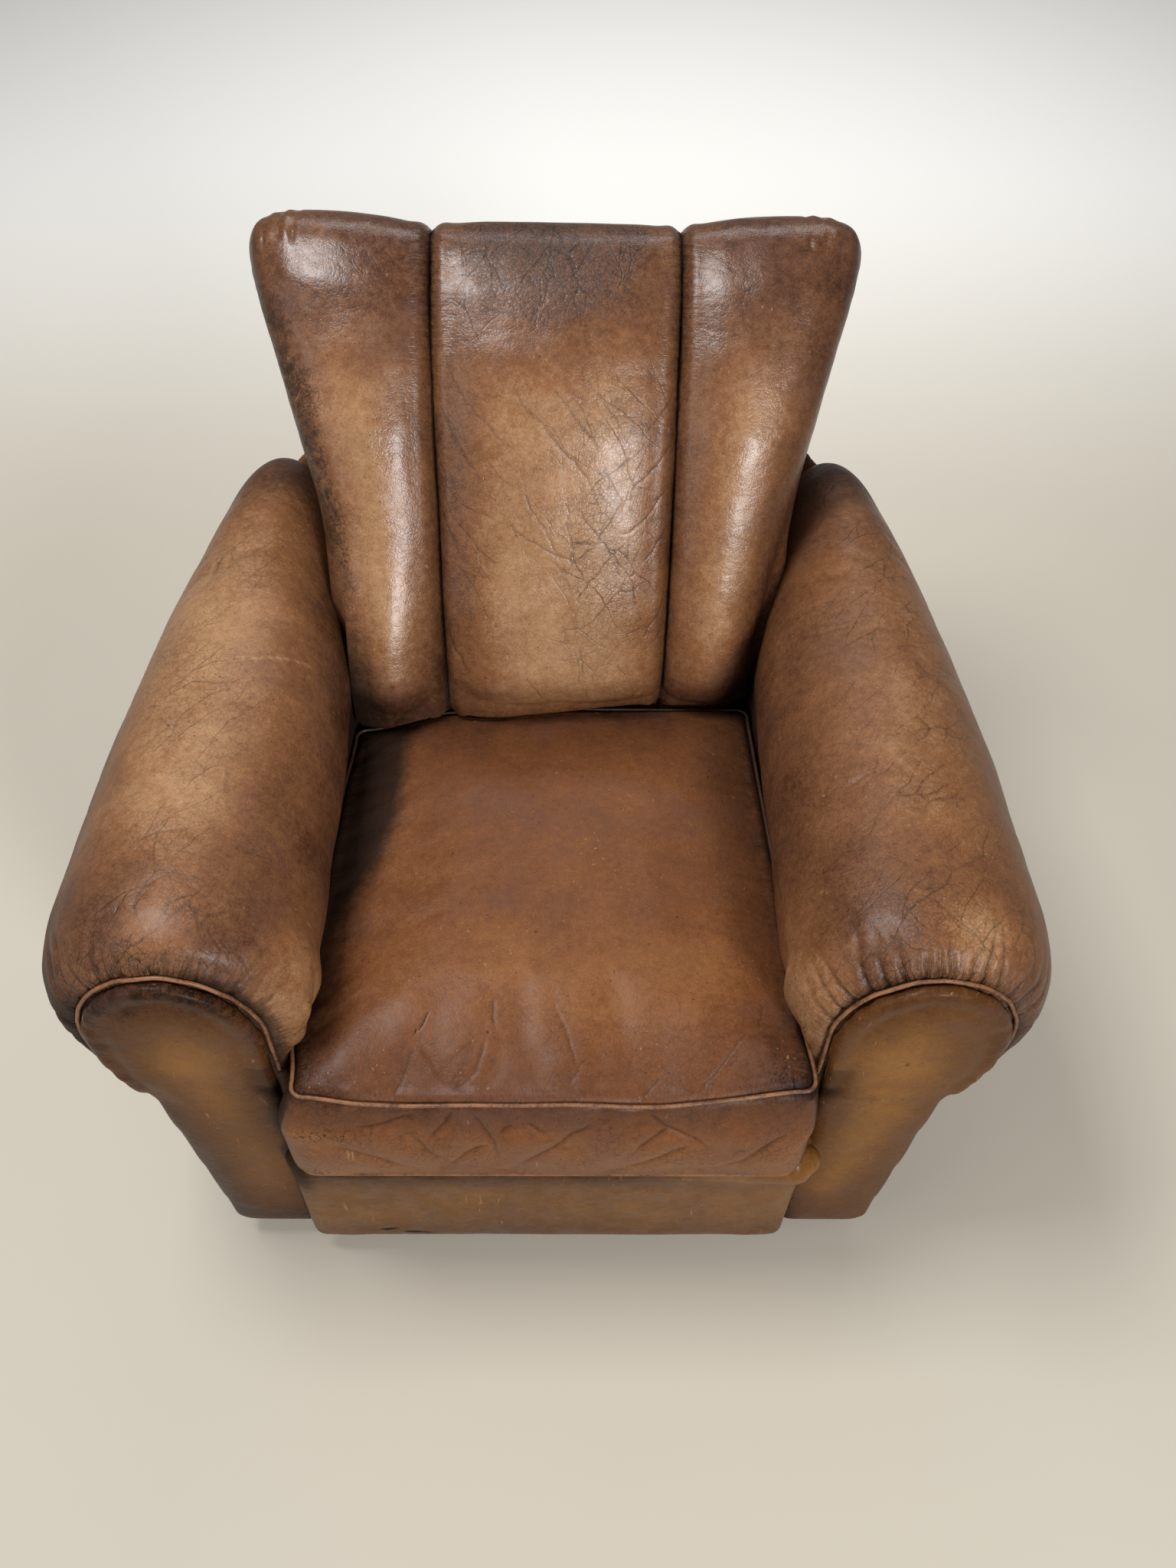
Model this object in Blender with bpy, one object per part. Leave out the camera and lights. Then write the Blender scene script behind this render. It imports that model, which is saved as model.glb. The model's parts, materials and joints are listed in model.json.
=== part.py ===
"""Worn leather club chair, built the way an upholsterer builds it.

Beech frame, coil springs on woven webbing, canvas, a sprung seat deck, fat rolled
arms, a fluted back and one loose seat cushion. Metres, +Z up, the chair faces -Y and
the origin lies on the floor under the middle of its bounding box.
"""

import math

import bmesh
import bpy
from mathutils import Vector

# ---------------------------------------------------------------- driving dimensions
WIDTH = 0.918            # over the arm rolls
DEPTH = 0.854            # cushion front to the top of the outside back
CREST_Z = 0.822          # floor to the crest of the middle flute
CORNER_LIFT = 0.014      # the side flutes swell this much higher near their corners

GAP = 0.0003             # clearance where two pieces meet
FRONT = -DEPTH / 2       # front of the cushion border
REAR = DEPTH / 2         # rear of the outside back at its top edge

COVER_BOTTOM = 0.034     # lower edge of the leather covers
RAIL_BOTTOM = 0.042      # underside of the frame, top of the feet
RAIL_TOP = 0.150
RAIL_THICK = 0.028
FRONT_RAIL_TOP = 0.160

BASE_FRONT = FRONT + 0.024       # front face of the padded front border
BASE_HALF = 0.2568               # half width of the front border
BASE_TOP = 0.265
FACING_FRONT = FRONT + 0.040     # front face of the arm facings
FACING_THICK = 0.014
FRAME_FRONT = FACING_FRONT + FACING_THICK    # front plane of the wooden frame
STUMP_THICK = 0.025
STUMP_INSET = 0.012
SIDE_RAIL_IN = 0.304             # inner face of a side rail, from the middle
BACK_RAIL_FRONT = FRAME_FRONT + 0.632
CORNER_BLOCK_LEG = 0.060

# arm roll, as an ellipse round (ROLL_X, ROLL_Z)
ROLL_X = 0.330
ROLL_Z = 0.460
ROLL_HALF = WIDTH / 2 - ROLL_X   # half width of the roll at its fattest
ROLL_RISE = 0.132                # roll centre to the top of the arm
ROLL_DROP = 0.134                # roll centre to the lowest stuffing, outer side
ROLL_TUCK = 0.050                # roll centre to the tuck over the cushion, inner side
HEAD_HALF = 0.079                # the same four for the facing's head
HEAD_RISE = 0.095
HEAD_DROP = 0.144
NECK_Z = 0.346                   # where the roll meets the outside arm panel
NECK_X = 0.377
FOOT_LINE_X = 0.357              # outer edge of the facing at its foot
ARM_LONG = 0.720                 # front of the frame to the rear of an arm
PANEL_TAPER = 0.012              # the outside arm runs in by this much to the rear
WALL_X = 0.247                   # inner face of the inside arm beside the cushion
WALL_X_REAR = 0.2246
WALL_THICK = 0.030
WALL_BOTTOM = 0.228
ARM_RAIL_X = 0.322
ARM_RAIL_WIDE = 0.030
ARM_RAIL_Z = 0.420
ARM_RAIL_HIGH = 0.040

# back, in its own raked plane: t runs up the rake, n stands out of it to the front
RAKE = math.atan(0.3627)
RAKE_Y = FRONT + 0.622
RAKE_Z = 0.270
LOWER_RAIL_T = (-0.020, 0.030)
TOP_RAIL_T = (0.455, 0.505)
TOP_RAIL_HALF = 0.272
TOP_RAIL_DEEP = 0.040
POST_DEEP = 0.052                # depth of a back post at its top
POST_X = 0.2135
REAR_SLOPE = 0.176               # the outside back leans this much per metre of height
REAR_TOP_Z = 0.746
PANEL_THICK = 0.009
SHOULDER_Z = 0.680               # the side flutes start to round off towards their corners
SEAM_X_LOW = 0.119               # valley between the flutes at the seat
SEAM_X_TOP = 0.128
FAN_LOW = 0.2180                 # outer edge of the side flutes at the seat
FAN_TOP = 0.314                  # and at their top corners
FAN_START_Z = 0.400
FAN_TOP_Z = 0.780
FLUTE_BOTTOM = 0.252
VALLEY = 0.030                   # depth of the valleys between the flutes

# seat
TILT = 0.045                     # fall of the deck and cushion per metre of depth
CANVAS_Z = 0.2235
CANVAS_THICK = 0.0015
CANVAS_HALF = 0.235
DECK_REAR = RAKE_Y - 0.010
DECK_TOP = 0.2677                # at the front
CUSHION_HIGH = 0.140
CUSHION_CROWN = 0.024
CUSHION_HALF = 0.2462
CUSHION_HALF_REAR = 0.2236
CUSHION_REAR = FRONT + 0.511
CUSHION_CORNER = 0.022
EDGE_ROUND = 0.012
PIPING_R = 0.0025

# springs and webbing
SPRING_X = (-0.150, 0.0, 0.150)
SPRING_Y = (FRONT + 0.202, FRONT + 0.384, FRONT + 0.566)
SPRING_WIRE_R = 0.0019
SPRING_END_R = 0.038
SPRING_WAIST_R = 0.026
SPRING_TURNS = 4
WEB_WIDE = 0.050
WEB_THICK = 0.0018
WEB_TACKED = 0.028               # length of strap nailed down at each end
WEB_REACH = 0.326                # half length of the straps that run across
FRAME_REAR = BACK_RAIL_FRONT + 0.024
BACK_WEB_PITCH = 0.120
BACK_WEB_N = (GAP, GAP + 0.0015)
BACK_CANVAS_N = (0.0021, 0.0033)
DUST_COVER_HALF = 0.328
DUST_COVER_THICK = 0.0015

FOOT_X = 0.290
FOOT_R = 0.024
FOOT_Y = {"front": FRAME_FRONT + 0.031, "back": BACK_RAIL_FRONT + 0.003}
SIDES = {"left": -1, "right": 1}

# ---------------------------------------------------------------- finishes
FINISHES = {
    "leather": ((0.26, 0.11, 0.045), 0.42, 0.0),
    "leather_dark": ((0.15, 0.06, 0.03), 0.45, 0.0),
    "piping_leather": ((0.40, 0.18, 0.08), 0.45, 0.0),
    "beech": ((0.55, 0.36, 0.19), 0.6, 0.0),
    "dark_wood": ((0.09, 0.05, 0.03), 0.45, 0.0),
    "jute": ((0.42, 0.31, 0.17), 0.9, 0.0),
    "spring_steel": ((0.30, 0.28, 0.26), 0.4, 1.0),
    "black_cotton": ((0.02, 0.02, 0.02), 0.9, 0.0),
}


def make_finish(node, kind):
    """One Principled material for one sub-part."""
    colour, roughness, metallic = FINISHES[kind]
    material = bpy.data.materials.new(node + "_finish")
    material.use_nodes = True
    shader = material.node_tree.nodes["Principled BSDF"]
    shader.inputs["Base Color"].default_value = (*colour, 1.0)
    shader.inputs["Roughness"].default_value = roughness
    shader.inputs["Metallic"].default_value = metallic
    return material


# ---------------------------------------------------------------- building tools
def add_object(name, bm, kind, smooth=False):
    """Turn a bmesh into a named object with its own finish."""
    bmesh.ops.recalc_face_normals(bm, faces=bm.faces)
    if bm.calc_volume(signed=True) < 0:
        bmesh.ops.reverse_faces(bm, faces=bm.faces)
    mesh = bpy.data.meshes.new(name)
    bm.to_mesh(mesh)
    bm.free()
    obj = bpy.data.objects.new(name, mesh)
    bpy.context.scene.collection.objects.link(obj)
    if kind:
        mesh.materials.append(make_finish(name, kind))
    if smooth:
        mesh.shade_smooth()
        mesh.set_sharp_from_angle(angle=math.radians(40))
    return obj


def add_box(name, low, high, kind, bevel=0.0):
    """A board or block between two corners, with softened edges if asked."""
    bm = bmesh.new()
    bmesh.ops.create_cube(bm, size=1.0)
    size = Vector(high) - Vector(low)
    bmesh.ops.scale(bm, vec=size, verts=bm.verts)
    bmesh.ops.translate(bm, vec=(Vector(high) + Vector(low)) / 2, verts=bm.verts)
    if bevel:
        bmesh.ops.bevel(bm, geom=bm.edges[:], offset=bevel, segments=1, profile=0.5,
                        affect="EDGES", material=-1)
    return add_object(name, bm, kind)


def add_prism(name, outline, place, kind):
    """A flat outline pushed through a thickness; place(point, end) gives each corner."""
    bm = bmesh.new()
    ends = [[bm.verts.new(place(point, end)) for point in outline] for end in (0, 1)]
    for ring in ends:
        bm.faces.new(ring)
    for i in range(len(outline)):
        j = (i + 1) % len(outline)
        bm.faces.new((ends[0][i], ends[0][j], ends[1][j], ends[1][i]))
    return add_object(name, bm, kind)


def add_loft(name, rings, kind, smooth=True):
    """A closed body through a row of rings that all have the same number of points."""
    bm = bmesh.new()
    loops = [[bm.verts.new(point) for point in ring] for ring in rings]
    for near, far in zip(loops, loops[1:]):
        for i in range(len(near)):
            j = (i + 1) % len(near)
            bm.faces.new((near[i], near[j], far[j], far[i]))
    bm.faces.new(loops[0])
    bm.faces.new(loops[-1])
    bmesh.ops.triangulate(bm, faces=bm.faces[:])
    return add_object(name, bm, kind, smooth)


def add_tube(name, points, radius, kind, cyclic=False, resolution=2):
    """A round cord or wire along a run of points."""
    curve = bpy.data.curves.new(name, "CURVE")
    curve.dimensions = "3D"
    curve.bevel_depth = radius
    curve.bevel_resolution = resolution
    curve.use_fill_caps = not cyclic
    spline = curve.splines.new("POLY")
    spline.points.add(len(points) - 1)
    for spot, point in zip(spline.points, points):
        spot.co = (*point, 1.0)
    spline.use_cyclic_u = cyclic
    obj = bpy.data.objects.new(name, curve)
    bpy.context.scene.collection.objects.link(obj)
    curve.materials.append(make_finish(name, kind))
    return obj


def cut(obj, cutter):
    """Take a hidden cutter's shape out of a body."""
    cutter.hide_render = True
    cutter.display_type = "WIRE"
    modifier = obj.modifiers.new("cut_" + cutter.name, "BOOLEAN")
    modifier.operation = "DIFFERENCE"
    modifier.solver = "EXACT"
    modifier.object = cutter


def mix(a, b, t):
    return a + (b - a) * t


# ---------------------------------------------------------------- shared lines
def rear_line(z):
    """The rear face of the outside back at a height."""
    return REAR - (REAR_TOP_Z - z) * REAR_SLOPE


def raked(t, n):
    """A point (y, z) of the back's raked plane."""
    return (RAKE_Y + t * math.sin(RAKE) - n * math.cos(RAKE),
            RAKE_Z + t * math.cos(RAKE) + n * math.sin(RAKE))


def run_back(y):
    """0 at the front of the frame, 1 at the rear."""
    return min(1.0, max(0.0, (y - FRAME_FRONT) / ARM_LONG))


def facing_outline(inset):
    """The scroll-shaped front of an arm, as (x, z), inset from its edge."""
    points = []
    for degrees in range(180, -46, -15):
        angle = math.radians(degrees)
        tall = HEAD_RISE if degrees >= 0 else HEAD_DROP
        points.append((ROLL_X + (HEAD_HALF - inset) * math.cos(angle),
                       ROLL_Z + (tall - inset) * math.sin(angle)))
    points.append((NECK_X - inset * 1.3, NECK_Z + inset * 0.3))
    corner = 0.014
    points.append((FOOT_LINE_X - inset, COVER_BOTTOM + corner))
    points.append((FOOT_LINE_X - inset - corner * 0.3, COVER_BOTTOM + corner * 0.3))
    points.append((FOOT_LINE_X - inset - corner, COVER_BOTTOM))
    points.append((BASE_HALF + 2 * GAP + inset, COVER_BOTTOM))
    points.append((BASE_HALF + 2 * GAP + inset, BASE_TOP + 0.015))
    points.append((ROLL_X - HEAD_HALF + 0.003 + inset, 0.370))
    return points


# ---------------------------------------------------------------- wooden frame
STUMP_REAR = FRAME_FRONT + STUMP_THICK


def stump_outline(inset):
    """The stump board follows the facing but stops at the underside of the frame."""
    return [(x, max(z, RAIL_BOTTOM)) for x, z in facing_outline(inset)]


def make_stump(name, side, grow, kind):
    depth = (FRAME_FRONT - grow, STUMP_REAR + grow)
    outline = stump_outline(STUMP_INSET - grow)
    return add_prism(name, outline, lambda p, end: (side * p[0], depth[end], p[1]), kind)


def make_rails():
    stump_in = BASE_HALF + 2 * GAP + STUMP_INSET
    rear = BACK_RAIL_FRONT
    add_box("front_rail", (-stump_in + GAP, FRAME_FRONT, RAIL_BOTTOM),
            (stump_in - GAP, FRAME_FRONT + RAIL_THICK, FRONT_RAIL_TOP), "beech", 0.002)
    add_box("back_rail", (-SIDE_RAIL_IN + GAP, rear, RAIL_BOTTOM),
            (SIDE_RAIL_IN - GAP, rear + RAIL_THICK, RAIL_TOP), "beech", 0.002)
    for word, side in SIDES.items():
        add_box(f"side_rail_{word}", *side_span(side, SIDE_RAIL_IN, RAIL_THICK,
                (STUMP_REAR + GAP, rear - GAP), (RAIL_BOTTOM, RAIL_TOP)), "beech", 0.002)
        make_stump(f"arm_stump_{word}", side, 0.0, "beech")
        add_box(f"arm_rear_post_{word}", *side_span(side, SIDE_RAIL_IN, RAIL_THICK,
                (rear, rear + RAIL_THICK), (RAIL_BOTTOM, ARM_RAIL_Z - GAP)), "beech", 0.002)
        add_box(f"arm_rail_{word}", *arm_rail_span(side, 0.0), "beech", 0.002)


def side_span(side, inner, thick, ys, zs):
    """Corners of a board on one side of the chair."""
    xs = sorted((side * inner, side * (inner + thick)))
    return (xs[0], ys[0], zs[0]), (xs[1], ys[1], zs[1])


def arm_rail_span(side, grow):
    inner = ARM_RAIL_X - ARM_RAIL_WIDE / 2 - grow
    return side_span(side, inner, ARM_RAIL_WIDE + 2 * grow,
                     (STUMP_REAR + GAP - grow, BACK_RAIL_FRONT + RAIL_THICK + grow),
                     (ARM_RAIL_Z - grow, ARM_RAIL_Z + ARM_RAIL_HIGH + grow))


def make_corner_blocks():
    leg = CORNER_BLOCK_LEG
    low, high = RAIL_BOTTOM + 0.020, RAIL_TOP - 0.012
    corners = {"front": (FRAME_FRONT + RAIL_THICK + GAP, 1),
               "back": (BACK_RAIL_FRONT - GAP, -1)}
    for end_word, (y, into) in corners.items():
        for word, side in SIDES.items():
            x = side * (SIDE_RAIL_IN - GAP)
            outline = [(x, y), (x - side * leg, y), (x, y + into * leg)]
            add_prism(f"corner_block_{end_word}_{word}", outline,
                      lambda p, end: (p[0], p[1], (low, high)[end]), "beech")


def post_outline(grow):
    """Side view of a back post: it stands on the back rail and tapers to the top."""
    shelf = RAIL_TOP + GAP - grow
    behind = panel_front(shelf) + grow
    top_front = raked(TOP_RAIL_T[0] - GAP + grow, grow)
    top_rear = raked(TOP_RAIL_T[0] - GAP + grow, -POST_DEEP - grow)
    knee = raked(0.0, grow)
    return [(behind, shelf), top_rear, top_front, knee, (knee[0], 0.215),
            (BACK_RAIL_FRONT - grow, shelf)]


def make_back_frame():
    for word, side in SIDES.items():
        xs = (side * POST_X, side * (POST_X + RAIL_THICK))
        add_prism(f"back_post_{word}", post_outline(0.0),
                  lambda p, end: (xs[end], p[0], p[1]), "beech")
    add_slab("back_top_rail", TOP_RAIL_HALF, TOP_RAIL_T, (-TOP_RAIL_DEEP, 0.0), "beech")
    add_slab("back_stuffing_rail", POST_X - GAP, LOWER_RAIL_T, (-RAIL_THICK, 0.0), "beech")


def add_slab(name, half, ts, ns, kind, middle=0.0):
    """A board or strap lying in the back's raked plane."""
    outline = [(ts[0], ns[0]), (ts[1], ns[0]), (ts[1], ns[1]), (ts[0], ns[1])]
    return add_prism(name, outline,
                     lambda p, end: (middle + (-half, half)[end], *raked(*p)), kind)


def make_feet():
    for end_word, y in FOOT_Y.items():
        for word, side in SIDES.items():
            bm = bmesh.new()
            high = RAIL_BOTTOM - GAP
            bmesh.ops.create_cone(bm, cap_ends=True, segments=20, radius1=FOOT_R * 0.82,
                                  radius2=FOOT_R, depth=high)
            bmesh.ops.translate(bm, vec=(side * FOOT_X, y, high / 2), verts=bm.verts)
            add_object(f"foot_{end_word}_{word}", bm, "dark_wood", smooth=True)


# ---------------------------------------------------------------- springing
def weave_lift(index, crossing):
    """Centre height of a strap at a crossing: over, then under."""
    high = RAIL_BOTTOM - GAP - WEB_THICK / 2
    low = high - WEB_THICK - GAP
    return high if (index + crossing) % 2 == 0 else low


def make_strap(name, index, along_x):
    """One webbing strap, woven over and under the straps that cross it."""
    crossings = SPRING_X if along_x else SPRING_Y
    centre = (SPRING_Y if along_x else SPRING_X)[index]
    ends = (-WEB_REACH, WEB_REACH) if along_x else (FRAME_FRONT + 0.006, FRAME_REAR)
    flat = WEB_WIDE / 2 + 0.004
    tack = RAIL_BOTTOM - GAP - WEB_THICK / 2
    runs = [(ends[0], tack), (ends[0] + WEB_TACKED, tack)]
    for number, spot in enumerate(crossings):
        level = weave_lift(index + (1 if along_x else 0), number)
        runs += [(spot - flat, level), (spot + flat, level)]
    runs += [(ends[1] - WEB_TACKED, tack), (ends[1], tack)]
    rings = []
    for run, level in runs:
        ring = []
        for across, up in ((-1, -1), (1, -1), (1, 1), (-1, 1)):
            side = centre + across * WEB_WIDE / 2
            z = level + up * WEB_THICK / 2
            ring.append((run, side, z) if along_x else (side, run, z))
        rings.append(ring)
    add_loft(name, rings, "jute", smooth=False)


def make_spring(name, x, y):
    """A coil spring with a waist, its end coils lying flat."""
    low = RAIL_BOTTOM + SPRING_WIRE_R + GAP
    high = CANVAS_Z - SPRING_WIRE_R - GAP
    per_turn = 9
    total = SPRING_TURNS * per_turn
    points = []
    for step in range(total + 1):
        u = step / total
        rise = min(1.0, max(0.0, (u - 0.16) / 0.68))
        rise = rise * 0.8 + u * 0.2
        radius = mix(SPRING_WAIST_R, SPRING_END_R, (2 * u - 1) ** 2)
        angle = 2 * math.pi * step / per_turn
        points.append((x + radius * math.cos(angle), y + radius * math.sin(angle),
                       mix(low, high, rise)))
    add_tube(name, points, SPRING_WIRE_R, "spring_steel", resolution=1)


def make_springing():
    for index in range(len(SPRING_X)):
        make_strap(f"seat_webbing_across_{index + 1}", index, True)
        make_strap(f"seat_webbing_along_{index + 1}", index, False)
        add_slab(f"back_webbing_{index + 1}", WEB_WIDE / 2,
                 (LOWER_RAIL_T[0] + 0.004, TOP_RAIL_T[1] - 0.008),
                 BACK_WEB_N, "jute", middle=(index - 1) * BACK_WEB_PITCH)
    number = 0
    for y in SPRING_Y:
        for x in SPRING_X:
            number += 1
            make_spring(f"seat_spring_{number}", x, y)
    add_box("seat_canvas", (-CANVAS_HALF, FRAME_FRONT + 0.004, CANVAS_Z),
            (CANVAS_HALF, DECK_REAR - 0.005, CANVAS_Z + CANVAS_THICK), "jute")
    add_slab("back_canvas", POST_X + RAIL_THICK - 0.002,
             (LOWER_RAIL_T[0], TOP_RAIL_T[1]), BACK_CANVAS_N, "jute")


def make_dust_cover():
    top = RAIL_BOTTOM - 2 * WEB_THICK - 3 * GAP
    cover = add_box("dust_cover", (-DUST_COVER_HALF, FRAME_FRONT + 0.004, top - DUST_COVER_THICK),
                    (DUST_COVER_HALF, FRAME_REAR, top), "black_cotton")
    for end_word, y in FOOT_Y.items():
        for word, side in SIDES.items():
            bm = bmesh.new()
            bmesh.ops.create_cone(bm, cap_ends=True, segments=20, radius1=FOOT_R + GAP,
                                  radius2=FOOT_R + GAP, depth=0.020)
            bmesh.ops.translate(bm, vec=(side * FOOT_X, y, top), verts=bm.verts)
            cut(cover, add_object(f"foot_hole_{end_word}_{word}", bm, None))


# ---------------------------------------------------------------- seat
def seat_edge(y):
    """Half width between the inside arms, narrowing to the rear."""
    return mix(WALL_X, WALL_X_REAR, (y - FRAME_FRONT) / (CUSHION_REAR - FRAME_FRONT))


def make_deck():
    """The sprung platform that the cushion lies on."""
    rings = []
    for y in (FRAME_FRONT + GAP, DECK_REAR):
        half = seat_edge(y) - 0.0005
        top = DECK_TOP - TILT * (y - FRAME_FRONT)
        low = CANVAS_Z + CANVAS_THICK + GAP
        rings.append([(-half, y, low), (half, y, low), (half, y, top), (-half, y, top)])
    add_loft("seat_deck", rings, "leather_dark", smooth=False)


def make_front_border():
    """Padded front of the base, with a fat rolled top edge."""
    rear = FRAME_FRONT - GAP
    side_view = [(rear, COVER_BOTTOM), (BASE_FRONT + 0.010, COVER_BOTTOM),
                 (BASE_FRONT + 0.003, COVER_BOTTOM + 0.004), (BASE_FRONT, COVER_BOTTOM + 0.014),
                 (BASE_FRONT, 0.200), (BASE_FRONT - 0.005, 0.235), (BASE_FRONT - 0.004, 0.250),
                 (BASE_FRONT + 0.004, 0.261), (BASE_FRONT + 0.016, BASE_TOP), (rear, BASE_TOP)]
    rings = []
    for x, tuck in ((-1.0, 0.009), (-0.985, 0.002), (-0.94, 0.0), (0.0, 0.0),
                    (0.94, 0.0), (0.985, 0.002), (1.0, 0.009)):
        rings.append([(x * BASE_HALF, min(y + tuck, rear), z) for y, z in side_view])
    add_loft("front_border", rings, "leather")


def cushion_outline(inset):
    """Plan of the cushion, a rounded box narrowing to the rear, as (x, y)."""
    points = []
    front, rear = FRONT + inset, CUSHION_REAR - inset
    radius = max(CUSHION_CORNER - inset * 0.5, 0.006)
    half_front, half_rear = CUSHION_HALF - inset, CUSHION_HALF_REAR - inset
    corners = ((half_front, front, -90), (half_rear, rear, 0),
               (-half_rear, rear, 90), (-half_front, front, 180))
    for x, y, start in corners:
        cx = x - math.copysign(radius, x)
        cy = y + radius if y < 0 else y - radius
        for step in range(4):
            angle = math.radians(start + 30 * step)
            points.append((cx + radius * math.cos(angle), cy + radius * math.sin(angle)))
        next_x, next_y = {-90: (half_rear, rear), 0: (-half_rear, rear),
                          90: (-half_front, front), 180: (half_front, front)}[start]
        for t in (0.33, 0.67):
            points.append((mix(x, next_x, t), mix(y, next_y, t)))
    return points


def tilted(x, y, z):
    """Lay a level point on the sloping deck."""
    return (x, y, z + DECK_TOP + GAP - TILT * (y - FRAME_FRONT))


def make_cushion():
    layers = ((EDGE_ROUND, 0.0), (0.0, EDGE_ROUND), (0.0, CUSHION_HIGH - EDGE_ROUND),
              (EDGE_ROUND, CUSHION_HIGH), (0.050, CUSHION_HIGH + CUSHION_CROWN * 0.55),
              (0.110, CUSHION_HIGH + CUSHION_CROWN * 0.9), (0.190, CUSHION_HIGH + CUSHION_CROWN))
    rings = [[tilted(x, y, z) for x, y in cushion_outline(inset)] for inset, z in layers]
    add_loft("seat_cushion", rings, "leather")
    seat = EDGE_ROUND / 2 - (PIPING_R + GAP) / math.sqrt(2)
    for word, z in (("top", CUSHION_HIGH - seat), ("bottom", seat)):
        path = [tilted(x, y, z) for x, y in cushion_outline(seat)]
        add_tube(f"cushion_piping_{word}", path, PIPING_R, "piping_leather", cyclic=True,
                 resolution=1)


# ---------------------------------------------------------------- arms
# stations from the front: y, roll centre x, half width, rise, drop, lean of the ring
ROLL_STATIONS = (
    (FRAME_FRONT + GAP, ROLL_X, HEAD_HALF, HEAD_RISE, HEAD_DROP, 0.0),
    (FRAME_FRONT + 0.006, ROLL_X, HEAD_HALF + 0.018, HEAD_RISE + 0.014, 0.141, 0.0),
    (FRAME_FRONT + 0.018, ROLL_X, HEAD_HALF + 0.034, HEAD_RISE + 0.026, 0.138, 0.0),
    (FRAME_FRONT + 0.042, ROLL_X, ROLL_HALF - 0.004, ROLL_RISE - 0.003, 0.136, 0.0),
    (FRAME_FRONT + 0.078, ROLL_X, ROLL_HALF, ROLL_RISE, ROLL_DROP, 0.0),
    (FRAME_FRONT + 0.258, 0.3270, 0.1200, ROLL_RISE, 0.132, 0.1),
    (FRAME_FRONT + 0.420, 0.3220, 0.1030, 0.130, 0.130, 0.4),
    (FRAME_FRONT + 0.560, 0.3190, 0.0770, 0.123, 0.126, 0.8),
    (FRAME_FRONT + 0.630, 0.3175, 0.0640, 0.112, 0.122, 1.0),
    (FRAME_FRONT + 0.675, 0.3165, 0.0530, 0.094, 0.118, 1.0),
    (FRAME_FRONT + 0.710, 0.3155, 0.0390, 0.066, 0.116, 1.0),
    (FRAME_FRONT + 0.729, 0.3150, 0.0260, 0.042, 0.114, 1.0),
    (FRAME_FRONT + 0.7398, 0.3150, 0.0180, 0.028, 0.114, 1.0),
)


def roll_ring(side, station):
    """Section of an arm: stuffed roll on top, inside wall down to the deck."""
    y, cx, half, rise, drop, lean = station
    low_half = max(half, 0.052)
    points = []
    for degrees in range(-45, 181, 15):
        angle = math.radians(degrees)
        tall, wide = (rise, half) if degrees >= 0 else (drop, low_half)
        points.append((cx + wide * math.cos(angle), ROLL_Z + tall * math.sin(angle)))
    slope = REAR_SLOPE * lean
    wall = seat_edge(y - ROLL_TUCK * slope)
    foot = seat_edge(y + (WALL_BOTTOM - ROLL_Z) * slope)
    for across, down in ((0.22, 0.35), (0.72, 0.72), (1.0, 1.0)):
        points.append((mix(cx - half, wall, across), ROLL_Z - down * ROLL_TUCK))
    run_in = PANEL_TAPER * run_back(y)
    points += [(foot, WALL_BOTTOM), (foot + WALL_THICK, WALL_BOTTOM),
               (0.345 - run_in, NECK_Z + GAP), (cx + 0.5 * low_half, NECK_Z + GAP)]
    return [(side * x, y + (z - ROLL_Z) * slope, z) for x, z in points]


def make_arm_hollow(word, side):
    """The empty space inside an arm, under its rail and behind its inside wall."""
    rear = REAR + 0.02
    shell = 0.352
    outline = [(WALL_X + WALL_THICK, STUMP_REAR), (shell, STUMP_REAR),
               (shell - PANEL_TAPER * 1.1, rear), (WALL_X_REAR + WALL_THICK, rear)]
    levels = (0.150, ARM_RAIL_Z)
    return add_prism(f"arm_hollow_{word}", outline,
                     lambda p, end: (side * p[0], p[1], levels[end]), None)


def make_arm(word, side):
    rings = [roll_ring(side, station) for station in ROLL_STATIONS]
    arm = add_loft(f"arm_pad_{word}", rings, "leather")
    cut(arm, make_stump(f"stump_pocket_{word}", side, GAP, None))
    cut(arm, make_arm_hollow(word, side))
    cut(arm, add_box(f"rail_pocket_{word}", *arm_rail_span(side, GAP), None))
    post_clear = POST_X + RAIL_THICK + GAP
    xs = sorted((side * 0.18, side * post_clear))
    cut(arm, add_box(f"back_pocket_{word}", (xs[0], RAKE_Y - 0.013, 0.15),
                     (xs[1], REAR + 0.05, 0.70), None))
    cut(arm, make_flute(f"flute_pocket_{word}", side, GAP, None))


def make_outside_arm(word, side):
    """Thin padded panel from the roll down to the bottom of the base."""
    outline = [("front", COVER_BOTTOM), ("front", NECK_Z), ("rear", NECK_Z), ("rear", COVER_BOTTOM)]

    def place(point, end):
        where, z = point
        y = FRAME_FRONT + GAP if where == "front" else rear_line(z) - PANEL_THICK - GAP
        lean = (z - COVER_BOTTOM) / (NECK_Z - COVER_BOTTOM)
        x = mix(FOOT_LINE_X, NECK_X, lean) - PANEL_TAPER * run_back(y)
        return (side * (x - end * PANEL_THICK), y, z)

    add_prism(f"outside_arm_{word}", outline, place, "leather")


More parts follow.
